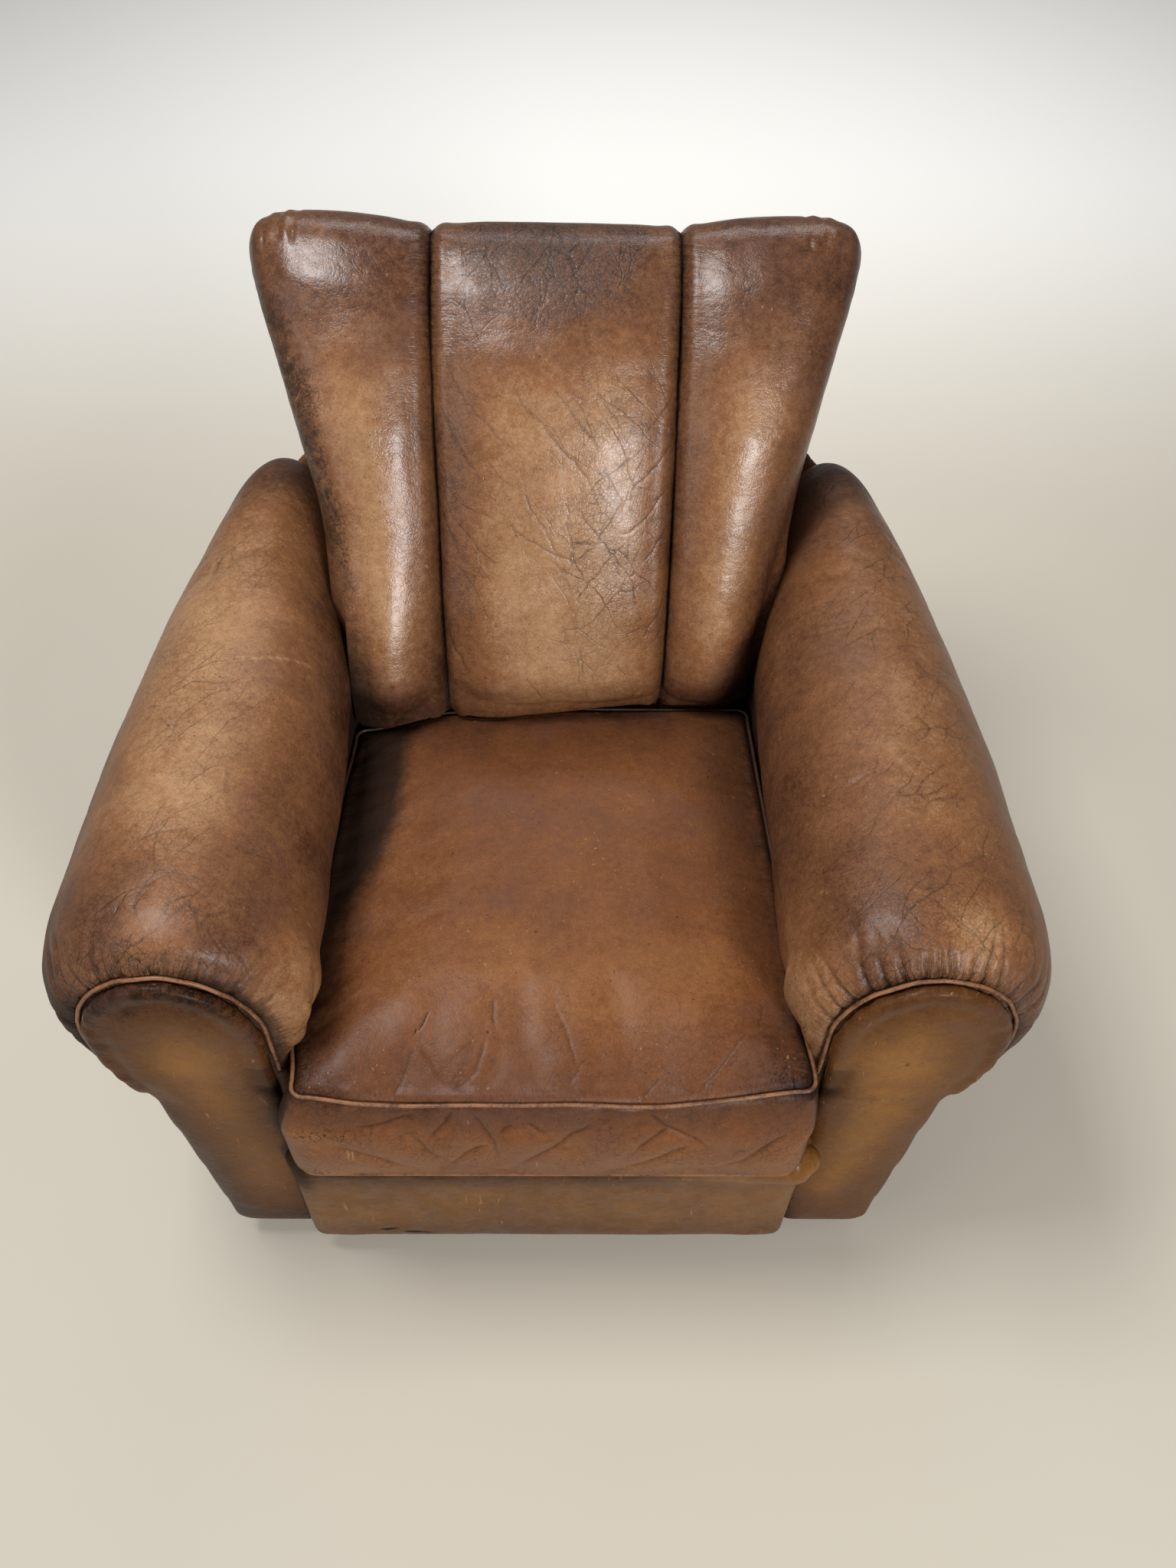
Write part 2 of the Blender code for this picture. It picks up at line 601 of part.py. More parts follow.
def make_facing(word, side):
    """Padded scroll on the front of an arm, and the piping round its head."""
    rings = []
    for depth, inset in ((0.0, 0.0), (0.008, 0.0), (0.014, 0.004), (FACING_THICK - GAP, 0.014)):
        y = FRAME_FRONT - GAP - depth
        rings.append([(side * x, y, z) for x, z in facing_outline(inset)])
    add_loft(f"arm_facing_{word}", rings, "leather")
    path = []
    reach = PIPING_R + GAP + 0.0002
    for degrees in range(180, -31, -10):
        angle = math.radians(degrees)
        tall = HEAD_RISE if degrees >= 0 else HEAD_DROP
        path.append((side * (ROLL_X + (HEAD_HALF + reach) * math.cos(angle)),
                     FRAME_FRONT - 0.0030, ROLL_Z + (tall + reach) * math.sin(angle)))
    path.insert(0, (side * (ROLL_X - HEAD_HALF - reach + 0.0015), FRAME_FRONT - 0.0032, 0.400))
    add_tube(f"facing_piping_{word}", path, PIPING_R, "piping_leather", resolution=1)


# ---------------------------------------------------------------- back
# crown of the flutes in side view: y, z, share of the valley's depth felt there
CROWN = ((CUSHION_REAR + 0.007, FLUTE_BOTTOM, 0.3), (CUSHION_REAR + 0.007, 0.388, 0.3),
         (FRONT + 0.488, 0.412, 0.7), (FRONT + 0.477, 0.450, 1.0), (FRONT + 0.510, 0.530, 1.0),
         (FRONT + 0.552, 0.610, 1.0), (FRONT + 0.600, 0.690, 0.95), (FRONT + 0.650, 0.752, 0.8),
         (FRONT + 0.700, 0.7965, 0.6), (FRONT + 0.738, 0.8165, 0.4), (FRONT + 0.764, CREST_Z, 0.25),
         (FRONT + 0.790, 0.8155, 0.2), (FRONT + 0.818, 0.7970, 0.15), (FRONT + 0.842, 0.772, 0.1),
         (REAR, REAR_TOP_Z + GAP, 0.0))


def fan_edge(z):
    """Outer edge of the side flutes at a height."""
    t = max(0.0, (z - FAN_START_Z) / (FAN_TOP_Z - FAN_START_Z))
    return mix(FAN_LOW, FAN_TOP, t ** 1.62)


def seam_edge(z):
    t = max(0.0, min(1.0, (z - FAN_START_Z) / (CREST_Z - FAN_START_Z)))
    return mix(SEAM_X_LOW, SEAM_X_TOP, t)


def panel_front(z):
    """Where the stuffing stops in front of the outside back."""
    return rear_line(z) - PANEL_THICK - GAP


def climb(z, start):
    """0 below a height, 1 at the crest."""
    return max(0.0, (z - start) / (CREST_Z - start))


def flute_section(x_at, recess, drop, lift, grow):
    """Side view of a flute at one place across it."""
    points = []
    ledge = REAR_TOP_Z + GAP
    for i, (y, z, share) in enumerate(CROWN):
        before, after = CROWN[max(i - 1, 0)], CROWN[min(i + 1, len(CROWN) - 1)]
        run = Vector((after[0] - before[0], after[1] - before[1])).normalized()
        step = recess * share - grow
        raised = lift * climb(z, REAR_TOP_Z + 0.006) - drop * climb(z, SHOULDER_Z)
        y, z = y + run.y * step, z - run.x * step + raised
        points.append((min(y, panel_front(z)) if z < ledge - grow else y, z))
    points[0] = (points[0][0], FLUTE_BOTTOM - grow)
    corner = min(points[-1][1], ledge) - 0.0002
    points.append((panel_front(corner) - 0.0001, corner))
    points.append((panel_front(FLUTE_BOTTOM), FLUTE_BOTTOM - grow))
    return [(x_at(z), y, z) for y, z in points]


def make_flute(name, side, grow, kind):
    """One padded flute: side -1, 0 (middle) or 1."""
    rings = []
    if side == 0:
        for across in (-1.0, -0.93, -0.70, -0.35, 0.0, 0.35, 0.70, 0.93, 1.0):
            recess = VALLEY * (1.0 - (1.0 - abs(across) ** 2.6) ** 0.5)
            rings.append(flute_section(
                lambda z, a=across: a * (seam_edge(z) - GAP / 2), recess, 0.0, 0.0, grow))
    else:
        shape = ((0.0, VALLEY, 0.0, 0.0), (0.05, 0.021, 0.0, 0.15), (0.20, 0.006, 0.0, 0.45),
                 (0.45, 0.0, 0.0, 0.8), (0.70, 0.006, 0.0, 1.0), (0.88, 0.022, 0.006, 0.9),
                 (0.97, 0.042, 0.020, 0.5), (1.0, 0.060, 0.036, 0.0))
        for across, recess, drop, share in shape:
            rings.append(flute_section(
                lambda z, a=across: side * mix(seam_edge(z) + GAP / 2, fan_edge(z) + grow, a),
                recess, drop, share * CORNER_LIFT, grow))
    flute = add_loft(name, rings, kind)
    if kind:
        post_half = POST_X + RAIL_THICK + GAP
        cut(flute, make_frame_pocket("post_pocket_" + name, post_half, -0.060))
        cut(flute, make_frame_pocket("rail_pocket_" + name, TOP_RAIL_HALF + GAP,
                                     TOP_RAIL_T[0] - GAP))
    return flute


def make_frame_pocket(name, half, start):
    """Room behind the flutes for the frame, webbing and canvas, from start up the rake."""
    canvas = 0.0036
    top = TOP_RAIL_T[1] + GAP
    outline = [raked(start, canvas), raked(top, canvas), raked(top, -0.120),
               raked(start, -0.200)]
    return add_prism(name, outline, lambda p, end: ((-half, half)[end], *p), None)


def make_outside_back():
    """Thin panel closing the rear, fanned to match the flutes above the arms."""
    half_view = [(0.3440, COVER_BOTTOM), (0.3600, 0.340), (0.3520, 0.430), (0.3280, 0.490),
                 (0.2900, 0.530), (0.2500, 0.562), (0.2500, 0.600), (0.2820, 0.700),
                 (0.2860, 0.718), (0.2780, 0.732), (0.2440, REAR_TOP_Z)]
    outline = half_view + [(-x, z) for x, z in reversed(half_view)]
    add_prism("outside_back", outline,
              lambda p, end: (p[0], rear_line(p[1]) - end * PANEL_THICK, p[1]), "leather")


# ---------------------------------------------------------------- assembly
def clear_scene():
    for obj in list(bpy.data.objects):
        bpy.data.objects.remove(obj, do_unlink=True)


def main():
    clear_scene()
    make_rails()
    make_corner_blocks()
    make_back_frame()
    make_feet()
    make_springing()
    make_dust_cover()
    make_deck()
    make_front_border()
    make_cushion()
    for word, side in SIDES.items():
        make_arm(word, side)
        make_outside_arm(word, side)
        make_facing(word, side)
        make_flute(f"back_flute_{word}", side, 0.0, "leather")
    make_flute("back_flute_middle", 0, 0.0, "leather")
    make_outside_back()


main()
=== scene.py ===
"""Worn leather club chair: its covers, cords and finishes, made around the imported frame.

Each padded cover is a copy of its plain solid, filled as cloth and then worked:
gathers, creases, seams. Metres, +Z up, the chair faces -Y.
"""

import json
import math
from contextlib import contextmanager

import bmesh
import bpy
import numpy as np
from bpy.props import FloatProperty, FloatVectorProperty, PointerProperty
from mathutils import Matrix, Vector, noise
from mathutils.bvhtree import BVHTree


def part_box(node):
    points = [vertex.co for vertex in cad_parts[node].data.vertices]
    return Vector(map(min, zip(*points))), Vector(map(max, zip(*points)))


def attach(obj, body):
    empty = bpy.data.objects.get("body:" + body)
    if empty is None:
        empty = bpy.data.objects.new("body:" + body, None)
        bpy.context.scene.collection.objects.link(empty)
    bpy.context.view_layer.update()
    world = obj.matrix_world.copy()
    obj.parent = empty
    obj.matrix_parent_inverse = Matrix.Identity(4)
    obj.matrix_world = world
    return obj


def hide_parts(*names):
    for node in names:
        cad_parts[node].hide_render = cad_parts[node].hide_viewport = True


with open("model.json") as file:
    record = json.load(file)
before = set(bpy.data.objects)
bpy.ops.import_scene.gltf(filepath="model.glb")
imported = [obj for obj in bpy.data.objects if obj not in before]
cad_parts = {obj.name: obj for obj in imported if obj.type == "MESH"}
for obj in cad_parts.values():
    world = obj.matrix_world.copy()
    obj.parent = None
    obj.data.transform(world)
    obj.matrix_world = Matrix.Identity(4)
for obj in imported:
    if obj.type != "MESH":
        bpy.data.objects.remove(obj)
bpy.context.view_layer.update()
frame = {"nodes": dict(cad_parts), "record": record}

bl_info = {
    "name": "Worn club chair",
    "version": (1, 0, 0),
    "blender": (4, 5, 0),
    "location": "3D View > Sidebar > Club Chair",
    "description": "Covers a sprung club chair in worn leather",
    "category": "Object",
}

# ---------------------------------------------------------------- places from the frame
SIDES = {"left": -1, "right": 1}
FRAME_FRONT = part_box("arm_stump_left")[0].y
CUSHION_LOW, CUSHION_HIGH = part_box("seat_cushion")
BORDER_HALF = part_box("front_border")[1].x

# arm scroll: an oval head round (ROLL_X, ROLL_Z), as the frame has it
ROLL_X = 0.330
ROLL_Z = 0.460
HEAD_HALF = 0.079
HEAD_RISE = 0.095
HEAD_DROP = 0.144

# cushion plan and section
CUSHION_HALF = CUSHION_HIGH.x
CUSHION_HALF_REAR = 0.2236
CUSHION_CORNER = 0.022
CUSHION_TILT = 0.045
CUSHION_FOOT = 0.268         # height of its underside at the front of the frame
CUSHION_WALL = 0.140         # height of its side panels
CUSHION_EDGE = 0.012

# back seams and fan
SEAM_LOW = 0.119
SEAM_TOP = 0.128
SEAM_CLIMB = 0.42            # height over which the seams spread
FAN_LOW = 0.218
FAN_TOP = 0.314
FAN_BEND = 1.62
FAN_START_Z = 0.400
FAN_TOP_Z = 0.780

FRAMES_OF_FILLING = 20
MERGE = 0.00002              # points closer than this are one point
SEWN = 0.0004                # a point that may move less than this is sewn down
CLEAR = 0.001                # left between a cover and its neighbours
ROOM_SHARE = 0.45            # share of the free room ahead that a cover may fill
FURTHEST = 0.040             # no cover looks for room further ahead than this
SHOWN = 0.6                  # a point counts as shown above this share of daylight
WING = 0.165                 # the side flutes are wings further out than this
ARM_SHOULDER = 0.47          # the creases across an arm keep above this height
SWAY = 0.0030                # how far a drawn crease is bent softly to and fro

# where the viewer stands and looks: pitch, yaw and roll in degrees
EYE = (0.0173, -0.9252, 1.5100)
EYE_TURN = (51.523, 1.254, 1.313)
LENS = 30.13

# how each arm has worn and is darkened: wrinkles in metres, the rest in shares (inner paints
# shade on the inner side), and the degrees round the roll between which its outer side darkens
ARM_WEAR = {
    "left": {"wrinkles": 0.00035, "crown": 0.50, "band": 0.62, "inner": 0.34, "outer": 0.72,
             "outer_turn": (64.0, 8.0)},
    "right": {"wrinkles": 0.00060, "crown": 0.26, "band": 0.38, "inner": 0.187,
              "outer": 0.52, "outer_turn": (40.0, -5.0)},
}

# gathers round the front of each arm: degrees round the scroll from its outer side, then
# how long and how deep they are drawn, in units of GATHER_LENGTH and GATHER_DEPTH
GATHER_LENGTH = 0.00072
GATHER_DEPTH = 1 / 700.0
GATHERS = {
    "left": ((-40, 30, 1.2), (-24, 38, 1.9), (-9, 50, 2.6), (6, 55, 2.8), (21, 60, 2.8),
             (35, 55, 2.4), (47, 46, 1.9), (57, 44, 1.5), (66, 30, 1.1), (74, 34, 1.3),
             (83, 22, 0.9), (91, 26, 1.1), (100, 18, 0.8), (108, 24, 1.0), (117, 22, 0.9),
             (127, 30, 0.9), (138, 34, 1.0), (150, 36, 0.8), (163, 40, 0.7)),
    "right": ((-34, 30, 0.9), (-16, 36, 1.3), (3, 42, 1.8), (17, 48, 1.9), (31, 44, 1.6),
              (43, 40, 1.4), (54, 52, 1.7), (65, 64, 2.4), (75, 40, 1.5), (84, 34, 1.5),
              (92, 42, 1.6), (101, 34, 1.4), (111, 48, 1.9), (122, 50, 1.8), (133, 62, 2.0),
              (144, 66, 1.8), (155, 60, 1.4), (166, 46, 1.0)),
}

# hard little tucks at the outer top corners of the back, as (out, up, size)
CORNER_TUCKS = {
    -1: ((0.262, 0.826, 0.0035), (0.270, 0.828, 0.0040), (0.277, 0.826, 0.0030),
         (0.286, 0.824, 0.0040), (0.293, 0.818, 0.0030), (0.309, 0.782, 0.0030),
         (0.310, 0.772, 0.0035)),
    1: ((0.254, 0.824, 0.0030), (0.262, 0.827, 0.0040), (0.272, 0.826, 0.0030),
        (0.280, 0.823, 0.0045), (0.288, 0.818, 0.0035)),
}


def in_metres(runs):
    """Runs of points drawn in millimetres."""
    return tuple(tuple((a / 1000, b / 1000) for a, b in run) for run in runs)


# creases pressed into the seat's top, as (x, y) runs over the cushion
SEAT_CREASES = in_metres((
    ((-122, -362), (-130, -386), (-144, -424)),
    ((-122, -362), (-107, -386), (-90, -407)),
    ((-92, -408), (-76, -400), (-66, -391), (-61, -374), (-54, -352)),
    ((-52, -318), (-53, -336), (-50, -355)),
    ((1, -316), (9, -342), (19, -366), (28, -390), (38, -412)),
    ((38, -373), (24, -392), (9, -407)),
    ((104, -388), (92, -401), (75, -420)),
    ((191, -344), (173, -365), (153, -386), (127, -417)),
    ((201, -316), (194, -342), (200, -352)),
    ((-205, -404), (-213, -420)),
))
SEAT_TEARS = in_metres((
    ((-112, -329), (-116.5, -342), (-123.5, -361)),
    ((-123.5, -350), (-123, -361)),
    ((-57.5, -353), (-54, -357)),
))

# lattice of creases on the cushion's front, as (x, z) runs
FRONT_CREASES = in_metres((
    ((-209, 349), (-187, 337), (-162, 320), (-144, 302), (-127, 278)),
    ((-183, 376), (-164, 378), (-145, 383), (-128, 389), (-110, 398)),
    ((-89, 402), (-89, 394), (-97, 380), (-105, 369), (-115, 350)),
    ((-74, 399), (-67, 386), (-58, 371), (-51, 354), (-48, 312)),
    ((-130, 366), (-120, 354), (-112, 337), (-93, 308)),
    ((-55, 353), (-66, 343), (-78, 333), (-87, 316), (-102, 289)),
    ((-88, 303), (-75, 295), (-58, 287), (-30, 274)),
    ((48, 393), (32, 373), (19, 359), (5, 345), (-9, 331), (-23, 312), (-38, 281)),
    ((-32, 379), (-41, 376), (-48, 363)),
    ((-22, 383), (-11, 374), (0, 365)),
    ((82, 399), (93, 391), (105, 379), (119, 370), (135, 361), (160, 331)),
    ((112, 382), (105, 371), (95, 360), (84, 349), (74, 329)),
    ((138, 358), (120, 342), (107, 329), (94, 314), (78, 298), (59, 278)),
    ((225, 374), (212, 356), (198, 340), (184, 317), (163, 298), (147, 285)),
))

# long diagonal creases on the middle flute, as (x, z) runs seen from the front
FLUTE_CREASES = in_metres((
    ((-122, 756), (-100, 728), (-76, 700), (-46, 676), (-24, 656)),
    ((-58, 742), (-34, 716), (-12, 698), (12, 676), (32, 656), (42, 634), (50, 612)),
    ((-8, 738), (14, 712), (36, 688), (56, 664)),
    ((22, 744), (48, 720), (66, 694), (78, 674)),
    ((-122, 712), (-104, 686), (-86, 662), (-72, 636), (-62, 624)),
    ((-120, 658), (-112, 644)),
    ((-119, 622), (-104, 590), (-96, 566)),
    ((-38, 648), (-18, 620), (0, 590), (26, 576)),
    ((-62, 624), (-34, 606), (0, 588), (30, 578), (50, 590)),
    ((123, 682), (104, 660), (84, 644), (66, 632)),
    ((124, 716), (106, 700), (82, 682)),
    ((121, 644), (100, 620), (78, 606), (54, 600)),
    ((119, 606), (102, 582), (82, 566)),
    ((117, 540), (106, 514), (96, 496), (88, 484)),
    ((116, 508), (102, 482)),
    ((-116, 512), (-106, 484), (-90, 452)),
    ((28, 500), (31, 452)),
    ((-34, 476), (-22, 446), (-12, 416)),
))

# creases across the tops of the arms, as (x, y) runs
ARM_CREASES = {
    "left": in_metres((
        ((-326, -268), (-308, -270), (-290, -273), (-275, -277)),
        ((-348, -252), (-321, -245), (-298, -239)),
        ((-343, -317), (-337, -304), (-324, -294)),
        ((-303, -138), (-284, -145), (-269, -161)),
        ((-378, -334), (-359, -329), (-357, -313)),
        ((-308, -303), (-293, -307), (-281, -317)),
        ((-279, -256), (-262, -257), (-250, -246)),
    )),
    "right": in_metres((
        ((262, -191), (274, -183), (288, -176), (304, -174), (324, -182), (349, -201),
         (375, -200)),
        ((306, -127), (322, -131), (342, -126), (358, -123), (374, -121)),
        ((311, -68), (317, -84), (318, -99), (329, -106)),
        ((317, 10), (337, 7), (362, 23)),
        ((241, 32), (267, 15), (298, 16), (313, 28)),
        ((240, -187), (257, -181), (269, -175)),
        ((367, -28), (382, -31), (399, -29)),
        ((336, -19), (355, -10), (378, -8)),
        ((348, -257), (354, -275), (358, -285)),
        ((348, -343), (363, -344), (382, -348)),
    )),
}

# one pale stretch mark across the left arm, as an (x, y) run
PALE_CREASE = in_metres((
    ((-345, -52), (-312, -40), (-293, -35), (-258, -18), (-235, -10), (-219, -33)),
))


# ---------------------------------------------------------------- settings
def length(name, description, default):
    return FloatProperty(name=name, description=description, default=default, unit="LENGTH")


def hue(name, description, default):
    return FloatVectorProperty(name=name, description=description, default=default,
                               subtype="COLOR")


class ChairSizes(bpy.types.PropertyGroup):
    """Sizes an upholsterer would choose."""

    grid: length("Cover grid", "Size of the faces a cover starts from", 0.006)
    filling: FloatProperty(name="Filling", description="Pressure that fills the covers",
                           default=4.0, min=0.0)
    arm_swell: length("Arm swell", "How far an arm's cover may stand out", 0.005)
    flute_swell: length("Flute swell", "How far a flute may stand out", 0.007)
    seat_swell: length("Seat swell", "How far the cushion may stand out", 0.008)
    piping: length("Piping radius", "Radius of the leather piping", 0.0019)
    grain: length("Grain depth", "Depth of the hide's grain", 0.00012)
    pucker: length("Pucker depth", "Depth of the folds beside a seam", 0.0014)


class ChairColours(bpy.types.PropertyGroup):
    """Colours of the worn hide and of the hidden materials."""

    # dark of soot, cracks and seams; also painted as shade in folds and in shaded places
    soot_and_shade: hue("Dirt", "Dirt in seams and folds", (0.014, 0.006, 0.003))
    brown: hue("Brown hide", "Where the hide has darkened", (0.085, 0.033, 0.016))
    tan: hue("Tan hide", "The hide's own colour", (0.228, 0.097, 0.038))
    # also painted as a highlight at the front of the right arm
    gold: hue("Rubbed hide", "Where the dye is rubbed thin", (0.46, 0.268, 0.135))
    russet: hue("Seat hide", "Redder hide of the cushion", (0.165, 0.060, 0.021))
    amber: hue("Rubbed seat", "Where the cushion is rubbed", (0.300, 0.125, 0.040))
    umber: hue("Facing edge", "Dark edges of the facings", (0.075, 0.028, 0.009))
    olive: hue("Facing hide", "Duller hide of the facings", (0.137, 0.055, 0.013))
    # also painted as the highlight on the rolled right top edge of the base
    straw: hue("Facing centre", "Rubbed middle of a facing", (0.264, 0.114, 0.024))
    plum: hue("Old polish", "Greyed polish on worn places", (0.110, 0.050, 0.036))
    cord: hue("Piping", "Leather of the piping", (0.265, 0.118, 0.054))
    beech: hue("Beech", "Planed beech of the frame", (0.52, 0.33, 0.17))
    jute: hue("Jute", "Webbing and canvas", (0.40, 0.29, 0.155))
    floor: hue("Floor", "Plain studio floor", (0.60, 0.55, 0.46))


def sizes():
    return bpy.context.scene.chair_sizes


def colours():
    return bpy.context.scene.chair_colours


# ---------------------------------------------------------------- shader arithmetic
class Number:
    """A value in a material's node tree that can be worked with like a number."""

    def __init__(self, finish, socket):
        self.finish = finish
        self.socket = socket

    def work(self, operation, *values):
        node = self.finish.add("ShaderNodeMath", {"operation": operation},
                               dict(enumerate(values)))
        return Number(self.finish, node.outputs[0])

    def __add__(self, other):
        return self.work("ADD", self, other)

    __radd__ = __add__

    def __sub__(self, other):
        return self.work("SUBTRACT", self, other)

    def __rsub__(self, other):
        return self.work("SUBTRACT", other, self)

    def __mul__(self, other):
        return self.work("MULTIPLY", self, other)

    __rmul__ = __mul__

    def __truediv__(self, other):
        return self.work("DIVIDE", self, other)

    def __rtruediv__(self, other):
        return self.work("DIVIDE", other, self)

    def __pow__(self, other):
        return self.work("POWER", self, other)

    def __abs__(self):
        return self.work("ABSOLUTE", self)

    def larger(self, other):
        return self.work("MAXIMUM", self, other)

    def smaller(self, other):
        return self.work("MINIMUM", self, other)

    def between(self, low, high):
        """0 at low, 1 at high, eased in between; low may be the larger."""
        node = self.finish.add("ShaderNodeMapRange", {"interpolation_type": "SMOOTHSTEP"},
                               {"Value": self, "From Min": low, "From Max": high})
        return Number(self.finish, node.outputs[0])


class Finish:
    """One material, with the one way that its nodes are added."""

    def __init__(self, name):
        self.material = bpy.data.materials.new(name)
        self.material.use_nodes = True
        self.tree = self.material.node_tree
        self.shader = self.tree.nodes["Principled BSDF"]

    def add(self, kind, settings=None, inputs=None):
        """A node of a kind: its settings first, then the values or links of its sockets."""
        node = self.tree.nodes.new(kind)
        for key, value in (settings or {}).items():
            if key == "stops":
                self.set_stops(node.color_ramp, value)
            else:
                setattr(node, key, value)
        for key, value in (inputs or {}).items():
            self.feed(node.inputs[key], value)
        return node

    def feed(self, socket, value):
        if isinstance(value, Number):
            value = value.socket
        if isinstance(value, bpy.types.NodeSocket):
            self.tree.links.new(value, socket)
        elif socket.type == "RGBA":
            socket.default_value = (*value, 1.0)
        else:
            socket.default_value = value

    def set_stops(self, ramp, stops):
        while len(ramp.elements) < len(stops):
            ramp.elements.new(1.0)
        for element, (place, colour) in zip(ramp.elements, stops):
            element.position = place
            element.color = (*colour, 1.0)

    def place(self, stretch=None):
        """The piece's own coordinates in metres, stretched if asked."""
        where = self.add("ShaderNodeTexCoord").outputs["Object"]
        return where if stretch is None else self.mapped(where, stretch)

    def mapped(self, where, stretch=(1.0, 1.0, 1.0), turn=(0.0, 0.0, 0.0)):
        """A place stretched along its axes, then turned about them."""
        return self.add("ShaderNodeMapping", None, {"Vector": where, "Scale": stretch,
                                                    "Rotation": turn}).outputs[0]

    def split(self, where):
        """The x, y and z of a place."""
        node = self.add("ShaderNodeSeparateXYZ", None, {0: where})
        return [Number(self, output) for output in node.outputs]

    def vector(self, operation, *values):
        node = self.add("ShaderNodeVectorMath", {"operation": operation})
        for socket, value in zip(node.inputs, values):
            self.feed(socket, value)
        return node.outputs[0]

    def noise(self, where, scale, detail=2.0, rough=0.5, bend=0.0):
        node = self.add("ShaderNodeTexNoise", None,
                        {"Vector": where, "Scale": scale, "Detail": detail,
                         "Roughness": rough, "Distortion": bend})
        return Number(self, node.outputs[0])

    def cells(self, where, scale, feature="DISTANCE_TO_EDGE"):
        node = self.add("ShaderNodeTexVoronoi", {"feature": feature},
                        {"Vector": where, "Scale": scale})
        return Number(self, node.outputs["Distance"])

    def warp(self, where, scale, reach):
        """The same place, pushed about by soft noise."""
        node = self.add("ShaderNodeTexNoise", None,
                        {"Vector": where, "Scale": scale, "Detail": 2.0})
        shift = self.vector("SUBTRACT", node.outputs["Color"], (0.5, 0.5, 0.5))
        return self.vector("ADD", where, self.vector("MULTIPLY", shift, (reach,) * 3))

    def mix(self, below, above, share):
        """Colour above laid over colour below."""
        node = self.add("ShaderNodeMix", {"data_type": "RGBA"}, {0: share, 6: below, 7: above})
        return node.outputs[2]

    def marks(self):
        """The worked marks of a cover: soiling and painted shade, rubbing, cracking, and folds
        darkened as painted shade.
        """
        mark = self.add("ShaderNodeAttribute", {"attribute_name": "marks"})
        parts = self.add("ShaderNodeSeparateColor", None, {0: mark.outputs["Color"]})
        return [Number(self, parts.outputs[i]) for i in range(3)] + [
            Number(self, mark.outputs["Alpha"])]

    def finish(self, colour, rough, height, metal=0.0, coat=0.0, coat_rough=0.3, specular=0.5):
        self.feed(self.shader.inputs["Base Color"], colour)
        self.feed(self.shader.inputs["Roughness"], rough)
        self.shader.inputs["Specular IOR Level"].default_value = specular
        self.shader.inputs["Metallic"].default_value = metal
        self.feed(self.shader.inputs["Coat Weight"], coat)
        self.shader.inputs["Coat Roughness"].default_value = coat_rough
        bump = self.add("ShaderNodeBump", None, {"Height": height, "Distance": 1.0,
                                                 "Strength": 1.0})
        self.feed(self.shader.inputs["Normal"], bump.outputs[0])
        return self.material


# ---------------------------------------------------------------- leather
TONES = {"hide": ("soot_and_shade", "brown", "tan", "gold"),
         "seat": ("soot_and_shade", "brown", "russet", "amber"),
         "facing": ("soot_and_shade", "umber", "olive", "straw")}


